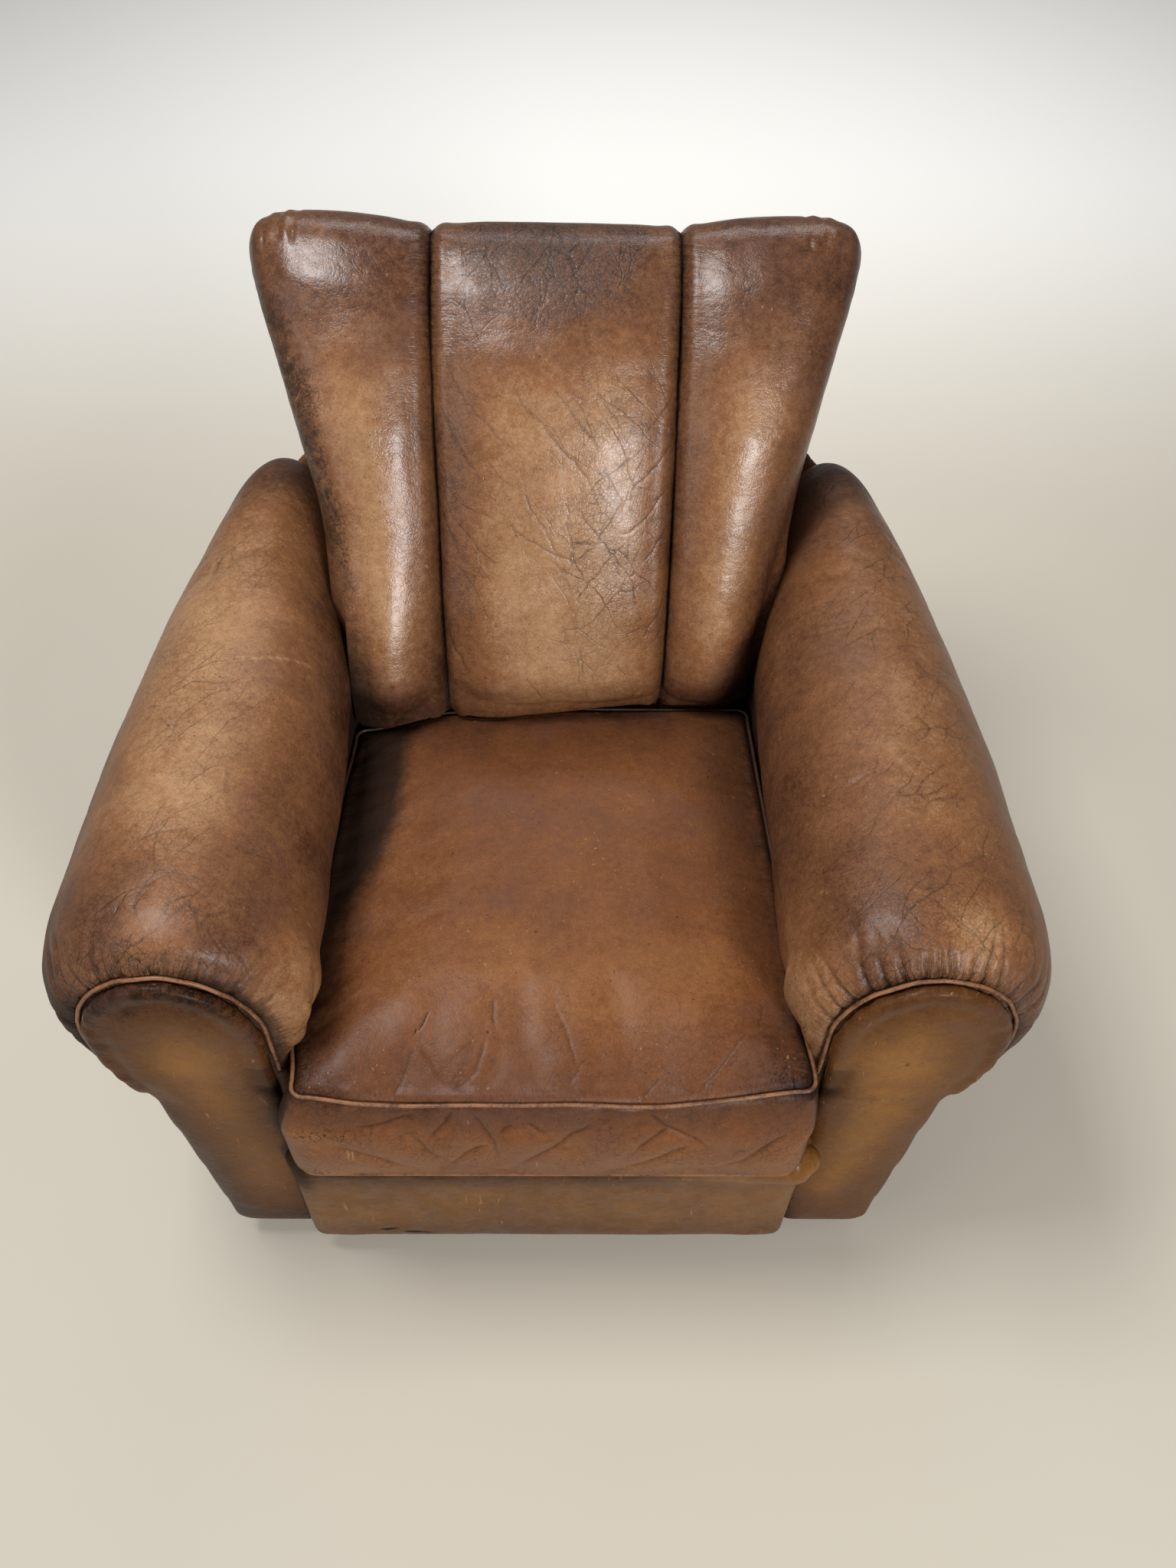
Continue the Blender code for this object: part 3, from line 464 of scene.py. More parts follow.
def leather(name, tones="hide", gloss=0.0, seed=0.0, lean=0.0, web_size=110.0,
            net_turn=(0.0, 0.0, 0.0), net_depth=1.0, specular=0.26, wax=0.16):
    """Old brown hide: rubbed gold, darkened at its edges, creased, cracked and waxed, with
    shade painted into its folds and shaded places.
    """
    hide, tone = Finish(name), colours()
    place = hide.place()
    where = hide.vector("ADD", place, (seed, seed * 0.7, -seed))
    dirt_and_shade, rubbed, cracked, folds = hide.marks()
    cloud = hide.noise(where, 6.5, 3.0, 0.55)
    patch = hide.noise(hide.warp(where, 9.0, 0.10), 26.0, 5.0, 0.62)
    fine = hide.noise(where, 130.0, 5.0, 0.68)
    speck = hide.noise(where, 520.0, 3.0, 0.6)
    dent = hide.noise(where, 130.0, 2.0)

    shade = rubbed + (cloud - 0.5) * 0.42 + (patch - 0.5) * 0.32 + (fine - 0.5) * 0.48 + lean
    shade = shade + (speck - 0.5) * 0.30
    stops = [getattr(tone, word) for word in TONES[tones]]
    ramp = hide.add("ShaderNodeValToRGB", {"stops": tuple(zip((0.0, 0.2, 0.55, 1.0), stops))},
                    {0: shade})
    colour = ramp.outputs[0]
    polish = hide.noise(where, 12.0, 4.0, 0.65).between(0.50, 0.70) * (1.05 - rubbed)
    colour = hide.mix(colour, tone.plum, polish.larger(0.0) * 0.62)

    # creases that cross each other, and a fine web of cracks in the marked places
    drift = hide.warp(where, 22.0, 0.022)
    veins = hide.noise(where, 19.0, 3.0).between(0.32, 0.58)
    net = crease_net(hide, drift, net_turn, (34.0, 9.0, 11.0))
    other_way = tuple(-v for v in net_turn)
    crossing = crease_net(hide, drift, other_way, (27.0, 9.0, 9.0)) * cracked.between(0.2, 0.5)
    net = net.larger(crossing) * veins * cracked.between(0.03, 0.40) * net_depth
    pits = hide.noise(where, 340.0, 3.0, 0.7).between(0.50, 0.62) * cracked.between(0.5, 0.8)
    web = hide.cells(hide.warp(where, 60.0, 0.014), web_size).between(0.085, 0.0)
    small_web = hide.cells(where, web_size * 2.6).between(0.09, 0.0)
    crack = web.larger(small_web * 0.7) * veins * cracked
    crack = crack.larger(pits * 0.8)

    scratch = scratches(hide, where, 0.5).larger(scratches(hide, where, -0.9))
    spots = hide.noise(where, 310.0, 1.0, 0.3).between(0.735, 0.80)

    # folds gathered beside the seams; below, their valleys are darkened as painted shade
    fold, near = puckers(hide)

    # dirt and painted shade: broken by the grain, solid in the seams
    broken = (dirt_and_shade * 1.25 - (fine * 0.36 + patch * 0.22) + 0.01).between(0.0, 0.85)
    # dark marks over the colour: cracks, spots and soiling are the hide's own, while darkened
    # pucker valleys (fold) and crease lines (folds) are painted shade
    for stain, share in (
            (tone.soot_and_shade, (crack * 0.96 + net * 0.38).smaller(0.92)), (tone.gold, scratch * 0.45),
            (tone.soot_and_shade, spots * 0.6), (tone.soot_and_shade, (fold * 0.62).smaller(0.8)),
            (tone.soot_and_shade, broken * 0.92), (tone.soot_and_shade, (folds * 0.6).smaller(0.8))):
        colour = hide.mix(colour, stain, share)

    height = (speck - 0.5) * (sizes().grain * 0.7) + grain_height(hide, where)
    height = height + (fine - 0.5) * 0.00016 + (dent - 0.5) * 0.00040
    height = height - crack * 0.00020 - net * 0.00028
    height = height - folds * 0.0004 - fold * sizes().pucker + scratch * 0.00004
    rough = 0.46 + (fine - 0.5) * 0.34 + (patch - 0.5) * 0.30 + broken * 0.26 - gloss
    rough = rough + crack * 0.2 + scratch * 0.08 + near * 0.05
    gleam = (hide.noise(where, 60.0, 4.0, 0.7).between(0.40, 0.60) * 0.75 + 0.25) * wax
    return hide.finish(colour, rough.larger(0.26).smaller(0.9), height,
                       coat=gleam * (1.0 - broken), coat_rough=0.27, specular=specular)


def crease_net(hide, where, turn, stretch):
    """Thin creases that run one way across the hide, joined by a few others."""
    drawn = hide.mapped(hide.mapped(where, turn=turn), stretch)
    return hide.cells(drawn, 1.0).between(0.028, 0.0)


def puckers(hide):
    """Small folds square to the nearest seam, dying out away from it, and their reach."""
    mark = hide.add("ShaderNodeAttribute", {"attribute_name": "seam"})
    along, away, pull = hide.split(mark.outputs["Vector"])
    lines = hide.add("ShaderNodeCombineXYZ", None, {0: along * 130.0, 1: away * 26.0})
    broad = hide.noise(lines.outputs[0], 1.0, 3.0, 0.6)
    near = (1.0 - away * 28.0).larger(0.0) ** 2.0
    return abs(broad - 0.5).between(0.085, 0.0) * near * pull, near


def scratches(hide, where, turn):
    """Short thin scratches that all run one way."""
    long_way = hide.mapped(hide.warp(where, 12.0, 0.03), (230.0, 230.0, 15.0),
                           (turn, turn * 0.7, turn * 0.3))
    line = hide.noise(long_way, 1.0, 1.0, 0.4).between(0.725, 0.79)
    return line * hide.noise(where, 17.0, 2.0).between(0.50, 0.66)


def grain_height(hide, where):
    """Small pebbles of the hide, with pores between them."""
    pebbles = hide.cells(where, 560.0, "F1")
    small = hide.cells(where, 1300.0, "F1")
    return (0.6 - pebbles) * sizes().grain * 0.9 + (0.6 - small) * sizes().grain * 0.25


def cord_leather(name, lean=0.0, painted_rear_shade=0.0):
    """Lighter leather of the piping, rubbed on its crown, with shade painted on it towards the
    back.
    """
    hide, tone = Finish(name), colours()
    where = hide.place()
    depth = hide.split(where)[1]
    patch = hide.noise(where, 40.0, 4.0, 0.6)
    fine = hide.noise(where, 320.0, 4.0, 0.6)
    worn = (patch * 0.9 + fine * 0.45 - 0.22 + lean).between(0.20, 0.60)
    colour = hide.mix(tone.brown, tone.cord, worn)
    spots = hide.noise(where, 130.0, 3.0, 0.7).between(0.62, 0.72)
    colour = hide.mix(colour, tone.soot_and_shade, spots * 0.6)
    # painted shade: the piping is darkened towards the back, where the seat lies in shadow
    colour = hide.mix(colour, tone.soot_and_shade, depth.between(-0.34, -0.12) * painted_rear_shade)
    height = (fine - 0.5) * 0.00016 + grain_height(hide, where)
    return hide.finish(colour, 0.40 + fine * 0.2, height, coat=0.1, specular=0.36)


# ---------------------------------------------------------------- hidden materials
def beech():
    """Planed wood with faint rings and flecks."""
    wood, tone = Finish("beech_finish"), colours()
    long_way = wood.place((9.0, 1.2, 1.2))
    rings = wood.noise(wood.warp(long_way, 1.5, 0.4), 16.0, 4.0, 0.6, 0.6)
    flecks = wood.noise(wood.place((260.0, 260.0, 40.0)), 1.0, 2.0).between(0.62, 0.72)
    dark = tuple(c * 0.62 for c in tone.beech)
    colour = wood.mix(tone.beech, dark, rings.between(0.35, 0.75) * 0.6)
    colour = wood.mix(colour, dark, flecks * 0.6)
    return wood.finish(colour, 0.55 + rings * 0.15, rings * 0.0002 - flecks * 0.00008)


def dark_wood():
    """Stained wood of the feet, rubbed through in places."""
    wood, tone = Finish("dark_wood_finish"), colours()
    grain = wood.noise(wood.place((60.0, 60.0, 6.0)), 1.0, 4.0, 0.6, 0.5)
    rub = wood.noise(wood.place(), 45.0, 4.0, 0.7).between(0.58, 0.72)
    colour = wood.mix((0.045, 0.022, 0.012), (0.11, 0.055, 0.028), grain)
    colour = wood.mix(colour, tone.tan, rub * 0.5)
    return wood.finish(colour, 0.38 + rub * 0.25, grain * 0.0002, coat=0.2)


def woven(name, colour, pitch, depth, rough=0.85):
    """Plain weave: threads over and under, uneven and a little hairy."""
    cloth = Finish(name)
    where = cloth.warp(cloth.place(), 60.0, pitch * 0.5)
    wave = []
    for turn in ((0.0, 0.0, 0.0), (0.0, 0.0, math.pi / 2)):
        band = cloth.add("ShaderNodeTexWave", {"bands_direction": "X"},
                         {"Vector": cloth.mapped(where, turn=turn),
                          "Scale": 1.0 / (20.0 * pitch) * 6.28})
        wave.append(Number(cloth, band.outputs["Fac"]))
    thread = wave[0].larger(wave[1])
    dust = cloth.noise(where, 25.0, 4.0, 0.65)
    shade = tuple(c * 0.35 for c in colour)
    tint = cloth.mix(shade, colour, (thread * 0.8 + dust * 0.4).smaller(1.0))
    return cloth.finish(tint, rough, thread * depth + dust * depth * 0.5)


def spring_steel():
    """Dull steel wire with a film of rust."""
    steel = Finish("spring_steel_finish")
    film = steel.noise(steel.place(), 90.0, 5.0, 0.7)
    rust = film.between(0.56, 0.70)
    colour = steel.mix((0.34, 0.33, 0.32), (0.16, 0.070, 0.030), rust * 0.8)
    return steel.finish(colour, 0.35 + rust * 0.4, film * 0.0002, metal=0.9)


# ---------------------------------------------------------------- working a mesh
def read_rows(rows, word):
    """One value of three numbers from every row, as an array."""
    flat = np.empty(len(rows) * 3, dtype=np.float32)
    rows.foreach_get(word, flat)
    return flat.reshape(-1, 3).astype(float)


def read_points(mesh):
    return read_rows(mesh.vertices, "co")


def write_points(mesh, points):
    mesh.vertices.foreach_set("co", points.astype(np.float32).ravel())
    mesh.update()


def read_normals(mesh):
    return read_rows(mesh.vertex_normals, "vector")


def spread(values, mesh, rounds):
    """Average a value over neighbouring points, several times."""
    edges = np.empty(len(mesh.edges) * 2, dtype=np.int32)
    mesh.edges.foreach_get("vertices", edges)
    ends = edges.reshape(-1, 2)
    count = np.bincount(edges, minlength=len(values)).clip(1)
    for _ in range(rounds):
        total = np.bincount(ends[:, 0], values[ends[:, 1]], len(values))
        total += np.bincount(ends[:, 1], values[ends[:, 0]], len(values))
        values = 0.5 * values + 0.5 * total / count
    return values


def ease(values, low, high):
    """0 at low, 1 at high, smooth in between; low may be the larger."""
    t = np.clip((values - low) / (high - low), 0.0, 1.0)
    return t * t * (3.0 - 2.0 * t)


def hill(values, middle, width):
    """1 at the middle, falling away on both sides."""
    return np.exp(-((values - middle) / width) ** 2)


def lumps(points, size, seed=0.0, stretch=(1.0, 1.0, 1.0)):
    """Soft random swells of about one size, from -1 to 1."""
    scaled = points / size * np.array(stretch) + seed
    return np.array([noise.noise(Vector(p)) for p in scaled])


def along_path(points, path, closed=False):
    """Distance of each point from a run of points, and how far along the run it is."""
    spots = np.array(list(path) + ([path[0]] if closed else []), dtype=float)
    nearest, along, start = np.full(len(points), 1.0), np.zeros(len(points)), 0.0
    for spot, step in zip(spots, np.diff(spots, axis=0)):
        length = math.sqrt(step @ step)
        t = np.clip((points - spot) @ step / length ** 2, 0.0, 1.0)
        gap = np.linalg.norm(points - spot - t[:, None] * step, axis=1)
        better = gap < nearest
        nearest[better] = gap[better]
        along[better] = start + t[better] * length
        start += length
    return nearest, along


def gap_to_paths(points, paths, closed=False):
    """Distance of each point from the nearest of several paths."""
    return np.minimum.reduce([along_path(points, path, closed)[0] for path in paths])


def freed(low, high, paths, closed=False):
    """How free a point is: sewn within low of a path, and wholly free from high on."""
    return lambda points: ease(gap_to_paths(points, paths, closed), low, high)


def gap_to_runs(flat_points, runs, sway=SWAY):
    """Distance of each flat point from the nearest drawn crease, made longer at its ends."""
    flat = np.column_stack([flat_points, np.zeros(len(flat_points))])
    bend = [lumps(flat, 0.030, seed) + 0.45 * lumps(flat, 0.008, seed) for seed in (3.3, 7.7)]
    swayed = flat_points + sway * np.stack(bend, axis=1)
    nearest = np.full(len(flat_points), 1.0)
    for run in runs:
        gap, along = along_path(swayed, run)
        length = sum(math.dist(a, b) for a, b in zip(run, run[1:]))
        fade = ease(along, 0.0, 0.20 * length) * ease(along, length, 0.65 * length)
        nearest = np.minimum(nearest, gap + 0.0035 * (1.0 - fade))
    return nearest


def valley(gap, width):
    """Section of a pressed fold: 1 in its bottom, slightly raised lips beside it."""
    ratio = gap / width
    return np.exp(-ratio * ratio) - 0.20 * np.exp(-((ratio - 2.2) ** 2))


def solid_tree(names):
    """One searchable surface made of several of the frame's solids."""
    points, faces = [], []
    for name in names:
        mesh = frame["nodes"][name].data
        start = len(points)
        points.extend(vertex.co.copy() for vertex in mesh.vertices)
        mesh.calc_loop_triangles()
        faces.extend([start + i for i in triangle.vertices]
                     for triangle in mesh.loop_triangles)
    return BVHTree.FromPolygons(points, faces)


def sky_directions():
    """Directions spread over the half of space in front of a surface."""
    found = [Vector((0.0, 0.0, 1.0))]
    for lean, count in ((math.radians(40), 4), (math.radians(68), 6)):
        for step in range(count):
            turn = 2.0 * math.pi * (step + 0.5) / count
            found.append(Vector((math.sin(lean) * math.cos(turn),
                                 math.sin(lean) * math.sin(turn), math.cos(lean))))
    return found


def in_open_air(mesh, tree):
    """1 for each point of a mesh from which daylight can be seen, or 0."""
    directions = sky_directions()
    seen = np.zeros(len(mesh.vertices))
    for index, vertex in enumerate(mesh.vertices):
        normal = mesh.vertex_normals[index].vector
        start = vertex.co + normal * 0.003
        turn = normal.to_track_quat("Z", "Y")
        seen[index] = any(tree.ray_cast(start, turn @ way)[0] is None for way in directions)
    return seen


def room_ahead(mesh, tree, wanted):
    """How far each wanted point may move along its normal before it meets a neighbour."""
    room = np.full(len(mesh.vertices), FURTHEST)
    for index in np.flatnonzero(wanted):
        vertex = mesh.vertices[index]
        normal = mesh.vertex_normals[index].vector
        hit = tree.ray_cast(vertex.co - normal * CLEAR, normal, FURTHEST + CLEAR)
        if hit[0] is not None:
            room[index] = max(0.0, hit[3] - CLEAR)
    return room


def put_in_scene(name, data):
    """A new object with its data, in the scene's own collection."""
    made = bpy.data.objects.new(name, data)
    bpy.context.scene.collection.objects.link(made)
    return made


def solved_mesh(maker, name):
    """The mesh that an object's modifiers or curve settings make."""
    graph = bpy.context.evaluated_depsgraph_get()
    mesh = bpy.data.meshes.new_from_object(maker.evaluated_get(graph))
    mesh.name = name
    return mesh


@contextmanager
def editing(mesh):
    """A mesh open for editing; what is done to it is kept."""
    bm = bmesh.new()
    bm.from_mesh(mesh)
    bm.verts.ensure_lookup_table()
    yield bm
    bm.to_mesh(mesh)
    bm.free()
    mesh.update()


def smooth(bm, verts, rounds):
    for _ in range(rounds):
        bmesh.ops.smooth_vert(bm, verts=verts, factor=0.5, use_axis_x=True, use_axis_y=True,
                              use_axis_z=True)


def take_cover(node, name, grid):
    """An even mesh in the shape of one of the frame's plain solids."""
    mesh = frame["nodes"][node].data.copy()
    mesh.name = name
    mesh.materials.clear()
    with editing(mesh) as bm:
        bmesh.ops.remove_doubles(bm, verts=bm.verts, dist=MERGE)
    piece = put_in_scene(name, mesh)
    remesh = piece.modifiers.new("even_grid", "REMESH")
    remesh.mode = "VOXEL"
    remesh.voxel_size = grid
    piece.data = solved_mesh(piece, name)
    piece.modifiers.clear()
    return piece


def relax(mesh, wanted, rounds):
    """Smooth the wanted points of a mesh."""
    with editing(mesh) as bm:
        smooth(bm, [bm.verts[i] for i in np.flatnonzero(wanted)], rounds)


def fill_as_cloth(piece, sewn, spare):
    """Blow the cover out as cloth held at its sewn points, and give its new points."""
    group = piece.vertex_groups.new(name="sewn")
    group.add([int(i) for i in np.flatnonzero(sewn)], 1.0, "REPLACE")
    cloth = piece.modifiers.new("filling", "CLOTH")
    settings = cloth.settings
    chosen = {"quality": 3, "mass": 0.35, "tension_stiffness": 18.0, "use_pressure": True,
              "compression_stiffness": 18.0, "shear_stiffness": 8.0, "shrink_min": -spare,
              "bending_stiffness": 2.5, "uniform_pressure_force": sizes().filling,
              "vertex_group_mass": group.name}
    for key, value in chosen.items():
        setattr(settings, key, value)
    settings.effector_weights.gravity = 0.0
    cloth.point_cache.frame_start = 1
    cloth.point_cache.frame_end = FRAMES_OF_FILLING
    scene = bpy.context.scene
    for number in range(1, FRAMES_OF_FILLING + 1):
        scene.frame_set(number)
    solved = piece.evaluated_get(bpy.context.evaluated_depsgraph_get())
    points = read_points(solved.to_mesh())
    solved.to_mesh_clear()
    piece.modifiers.clear()
    piece.vertex_groups.clear()
    scene.frame_set(1)
    return points


def pad(node, name, swell, held, smooth=12, spare=0.0, shape=None, fine=None, grid=1.0):
    """A filled cover for one solid: even mesh, cloth filling, finer where it shows.

    held says how free each point is, shape moves points before the filling, and fine
    says where the grid is halved once more.
    """
    piece = take_cover(node, name, sizes().grid * grid)
    mesh = piece.data
    shown = in_open_air(mesh, solid_tree(frame["nodes"]))
    shown = (spread(shown, mesh, 1) > 0.15).astype(float)
    relax(mesh, shown, smooth)
    others = solid_tree([other for other in frame["nodes"] if other != node])
    room = room_ahead(mesh, others, shown)
    if shape:
        write_points(mesh, shape(read_points(mesh)))
    start = read_points(mesh)
    free = np.minimum(swell * held(start), room * ROOM_SHARE) * shown
    free = spread(free, mesh, 3) * shown
    move = fill_as_cloth(piece, free < SEWN, spare) - start
    length = np.linalg.norm(move, axis=1)
    limit = np.minimum(1.0, free / np.maximum(length, 1e-6))
    write_points(mesh, start + move * limit[:, None])
    layer = mesh.attributes.new("shown", "FLOAT", "POINT")
    layer.data.foreach_set("value", shown.astype(np.float32))
    refine(mesh, lambda points: np.ones(len(points)))
    if fine:
        refine(mesh, fine)
    return piece


def shown_points(mesh):
    """True for each point that can be seen."""
    values = np.empty(len(mesh.vertices), dtype=np.float32)
    mesh.attributes["shown"].data.foreach_get("value", values)
    return values > SHOWN


def refine(mesh, where):
    """Halve the grid in a wanted part of what shows, and ease the points there."""
    chosen = shown_points(mesh) & (where(read_points(mesh)) > 0.5)
    with editing(mesh) as bm:
        count = len(bm.verts)
        edges = [e for e in bm.edges if all(chosen[v.index] for v in e.verts)]
        bmesh.ops.subdivide_edges(bm, edges=edges, cuts=1, use_grid_fill=True)
        bm.verts.ensure_lookup_table()
        smooth(bm, [bm.verts[i] for i in np.flatnonzero(chosen)] + bm.verts[count:], 3)


def push(mesh, amount):
    """Move each point along its normal by its own amount."""
    write_points(mesh, read_points(mesh) + read_normals(mesh) * amount[:, None])


def mark(mesh, dirt_and_shade, rubbed, cracked, folds, along=0.0, away=1.0, pull=0.0):
    """Keep the worked marks and the place beside the seams for the material."""
    count = len(mesh.vertices)
    layer = mesh.attributes.new("marks", "FLOAT_COLOR", "POINT")
    values = np.stack([np.broadcast_to(np.clip(v, 0.0, 1.0), count)
                       for v in (dirt_and_shade, rubbed, cracked, folds)], axis=1)
    layer.data.foreach_set("color", values.astype(np.float32).ravel())
    seam = mesh.attributes.new("seam", "FLOAT_VECTOR", "POINT")
    values = np.stack([np.broadcast_to(v, count) for v in (along, away, pull)], axis=1)
    seam.data.foreach_set("vector", values.astype(np.float32).ravel())
    if "shown" in mesh.attributes:
        mesh.attributes.remove(mesh.attributes["shown"])


def hand_over(piece, material, nodes):
    """Finish a piece: its material, its body and what it stands for."""
    piece.data.materials.clear()
    piece.data.materials.append(material)
    piece.data.shade_smooth()
    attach(piece, "root")
    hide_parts(*nodes)


def cord_piece(name, path, radius, closed):
    """A round cord through a run of points, as a mesh."""
    curve = bpy.data.curves.new(name, "CURVE")
    curve.dimensions = "3D"
    curve.bevel_depth = radius
    curve.bevel_resolution = 4
    curve.use_fill_caps = not closed
    spline = curve.splines.new("POLY")
    spline.points.add(len(path) - 1)
    for point, place in zip(spline.points, path):
        point.co = (*place, 1.0)
    spline.use_cyclic_u = closed
    maker = put_in_scene(name, curve)
    mesh = solved_mesh(maker, name)
    bpy.data.objects.remove(maker)
    bpy.data.curves.remove(curve)
    with editing(mesh) as bm:
        bmesh.ops.remove_doubles(bm, verts=bm.verts, dist=MERGE)
        bmesh.ops.recalc_face_normals(bm, faces=bm.faces)
    return put_in_scene(name, mesh)


# ---------------------------------------------------------------- arms
def scroll_point(angle, reach):
    """A point round the arm's scroll, as (x, z) from the middle of the chair."""
    tall = HEAD_RISE if math.sin(angle) >= 0 else HEAD_DROP
    return (ROLL_X + (HEAD_HALF + reach) * math.cos(angle),
            ROLL_Z + (tall + reach) * math.sin(angle))


def piping_path(side):
    """The piping's centre line: up the inner edge of the scroll and over its head."""
    reach = sizes().piping + 0.0006
    depth = FRAME_FRONT - 0.0028
    inner = ROLL_X - HEAD_HALF - reach
    path = [(side * (inner + 0.0012), depth, 0.392 + 0.004 * i) for i in range(13)]
    for step in range(105):
        angle = math.radians(172.0 - 2.0 * step)
        x, z = scroll_point(angle, reach)
        wave = 0.0007 * noise.noise(Vector((x * 60.0, side * 3.0, z * 60.0)))
        path.append((side * (x + wave * math.cos(angle)), depth + wave, z + wave))
    return path


def roll_angle(points, side):
    """Degrees round the roll of an arm: 0 outward, 90 up, 180 the seat's side, 270 down."""
    out = side * points[:, 0] - ROLL_X
    up = points[:, 2] - ROLL_Z
    angle = np.degrees(np.arctan2(up * np.where(up > 0, HEAD_HALF / HEAD_RISE, 0.6), out))
    return np.where(angle < -90.0, angle + 360.0, angle)


def shape_arm(points):
    """An arm is full at its front on the seat's side, and flatter further back."""
    moved = points.copy()
    x, z = points[:, 0], points[:, 2]
    out, back = np.abs(x), points[:, 1] - FRAME_FRONT
    on_left = x.mean() < 0
    wall = 0.2445 - (0.0225 if on_left else 0.0120) * ease(z, 0.396, 0.434)
    wall -= (0.0120 if on_left else 0.0) * ease(z, 0.434, 0.480)
    fill = np.maximum(0.0, out - wall) * (out < 0.27) * ease(z, 0.380, 0.392)
    fill *= ease(back, 0.085, 0.040) * ease(back, 0.002, 0.012)
    fill *= ease(z, 0.520, 0.470) if on_left else ease(z, 0.462, 0.446)
    if on_left:
        flat = ease(back, 0.045, 0.085) * (0.0075 - 0.0050 * ease(back, 0.16, 0.34))
    else:
        flat = 0.0095 * ease(back, 0.030, 0.065) * ease(back, 0.42, 0.20)
    flat *= ease(out, 0.266, 0.222) * ease(z, 0.395, 0.425)
    moved[:, 0] += np.sign(x) * (flat - fill)
    return moved


def work_arm(mesh, word, side):
    """Gathers, soft wrinkles, soiling and rubbing of one arm, and shade painted into its folds
    and its inner side.
    """
    points, wear = read_points(mesh), ARM_WEAR[word]
    back, height = points[:, 1] - FRAME_FRONT, points[:, 2]
    angle = roll_angle(points, side)
    reach, along = along_path(points, piping_path(side))
    drift = 160.0 * lumps(points, 0.05, side) * reach
    amount, folds = np.zeros(len(points)), np.zeros(len(points))
    for number, (degrees, length, depth) in enumerate(GATHERS[word]):
        bend = 120.0 * math.sin(number * 2.1 + side) * reach
        across = np.radians((angle - degrees - bend - drift + 180) % 360 - 180)
        across = np.abs(across) * (HEAD_HALF + 0.6 * reach)
        fade = np.exp(-(reach / (length * GATHER_LENGTH)) ** 1.7)
        width = 0.0019 + 0.036 * reach
        amount -= depth * GATHER_DEPTH * valley(across, width) * fade
        # folds: each gather's valley line, darkened in the material as painted shade
        folds = np.maximum(folds, hill(across, 0.0, width * 0.5) * fade * depth / 1.6)
    near = (reach < 0.12) & (height > 0.33)
    amount, folds = amount * near, folds * near
    amount -= 0.0016 * hill(reach, 0.0, 0.0030)
    amount += (0.0026 * hill(reach, 0.009, 0.006) + 0.0018 * hill(reach, 0.024, 0.013)) * near

    # slow dents of old stuffing, and soft wrinkles across the top
    amount += 0.0011 * lumps(points, 0.11, 3.0 + side) + 0.0005 * lumps(points, 0.035, 9.0)
    wrinkled = ease(back, 0.06, 0.20) * ease(back, 0.66, 0.48)
    ripple = lumps(points, 0.030, 5.0 * side, (0.35, 1.6, 0.35))
    amount -= wear["wrinkles"] * wrinkled * np.maximum(0.0, ripple * 2.2 - 0.25)
    crease = gap_to_runs(points[:, :2], ARM_CREASES[word])
    above = height > ARM_SHOULDER
    amount -= (0.00028 * valley(crease, 0.0022) + 0.0006 * hill(crease, 0.0, 0.011)) * above
    # the crease lines, darkened in the material as painted shade
    folds = np.maximum(folds, 0.36 * hill(crease, 0.0, 0.0012) * above)
    push(mesh, amount)

    crown = hill(angle, 84.0, 46.0)
    rubbed = 0.30 + wear["crown"] * crown * ease(back, 0.05, 0.16) * ease(back, 0.76, 0.40)
    rubbed += 0.34 * ease(angle, 128.0, 160.0) * ease(back, 0.16, 0.03)
    if word == "left":
        rubbed += 0.20 * hill(angle, 98.0, 22.0) * hill(back, 0.050, 0.050)
        rubbed -= 0.12 * ease(angle, 60.0, 10.0)
        pale = gap_to_runs(points[:, :2], PALE_CREASE, 0.0040)
        rubbed += 0.30 * hill(pale, 0.0, 0.0011) * (height > 0.48)
    else:
        # golden patch at the front: rubbed hide, partly a painted highlight
        rubbed += 0.44 * hill(angle, 70.0, 24.0) * hill(back, 0.034, 0.032)
    outer = ease(angle, *wear["outer_turn"]) * (height > 0.30)
    # inner: painted shade on the seat's side of the arm towards the back, deeper on the left
    inner = ease(angle, 120.0, 165.0) * ease(back, 0.10, 0.24)
    rear = ease(back, 0.50, 0.68)
    inside = ease(height, 0.47, 0.40) * (angle > 120)
    dirt_and_shade = wear["outer"] * outer + wear["inner"] * inner
    # darker low on the inner side beside the cushion, and towards the rear
    dirt_and_shade += 0.60 * inside * ease(back, 0.06, 0.16)
    dirt_and_shade += (0.62 - dirt_and_shade) * rear
    dirt_and_shade += 0.80 * hill(reach, 0.0, 0.0034) + 0.12 * hill(reach, 0.0, 0.016)

    # a scuffed band beside the piping, ragged on its far side
    streaks = lumps(np.stack([along, 0.22 * reach, 0.0 * reach], axis=1), 0.0034, 21.0 + side)
    band = ease(reach * (1.0 - 0.55 * streaks - 0.5 * lumps(points, 0.020, 4.0)), 0.026, 0.007)
    dirt_and_shade += wear["band"] * band * ease(angle, 84.0, 125.0)
    dirt_and_shade += 0.08 * band * ease(angle, 100.0, 60.0)
    cracked = 0.30 * hill(reach, 0.0, 0.05) + 0.34 * crown
    pull = 0.35 + 0.65 * ease(angle, 175.0, 120.0)
    mark(mesh, dirt_and_shade, rubbed, cracked, folds, along, reach, pull)


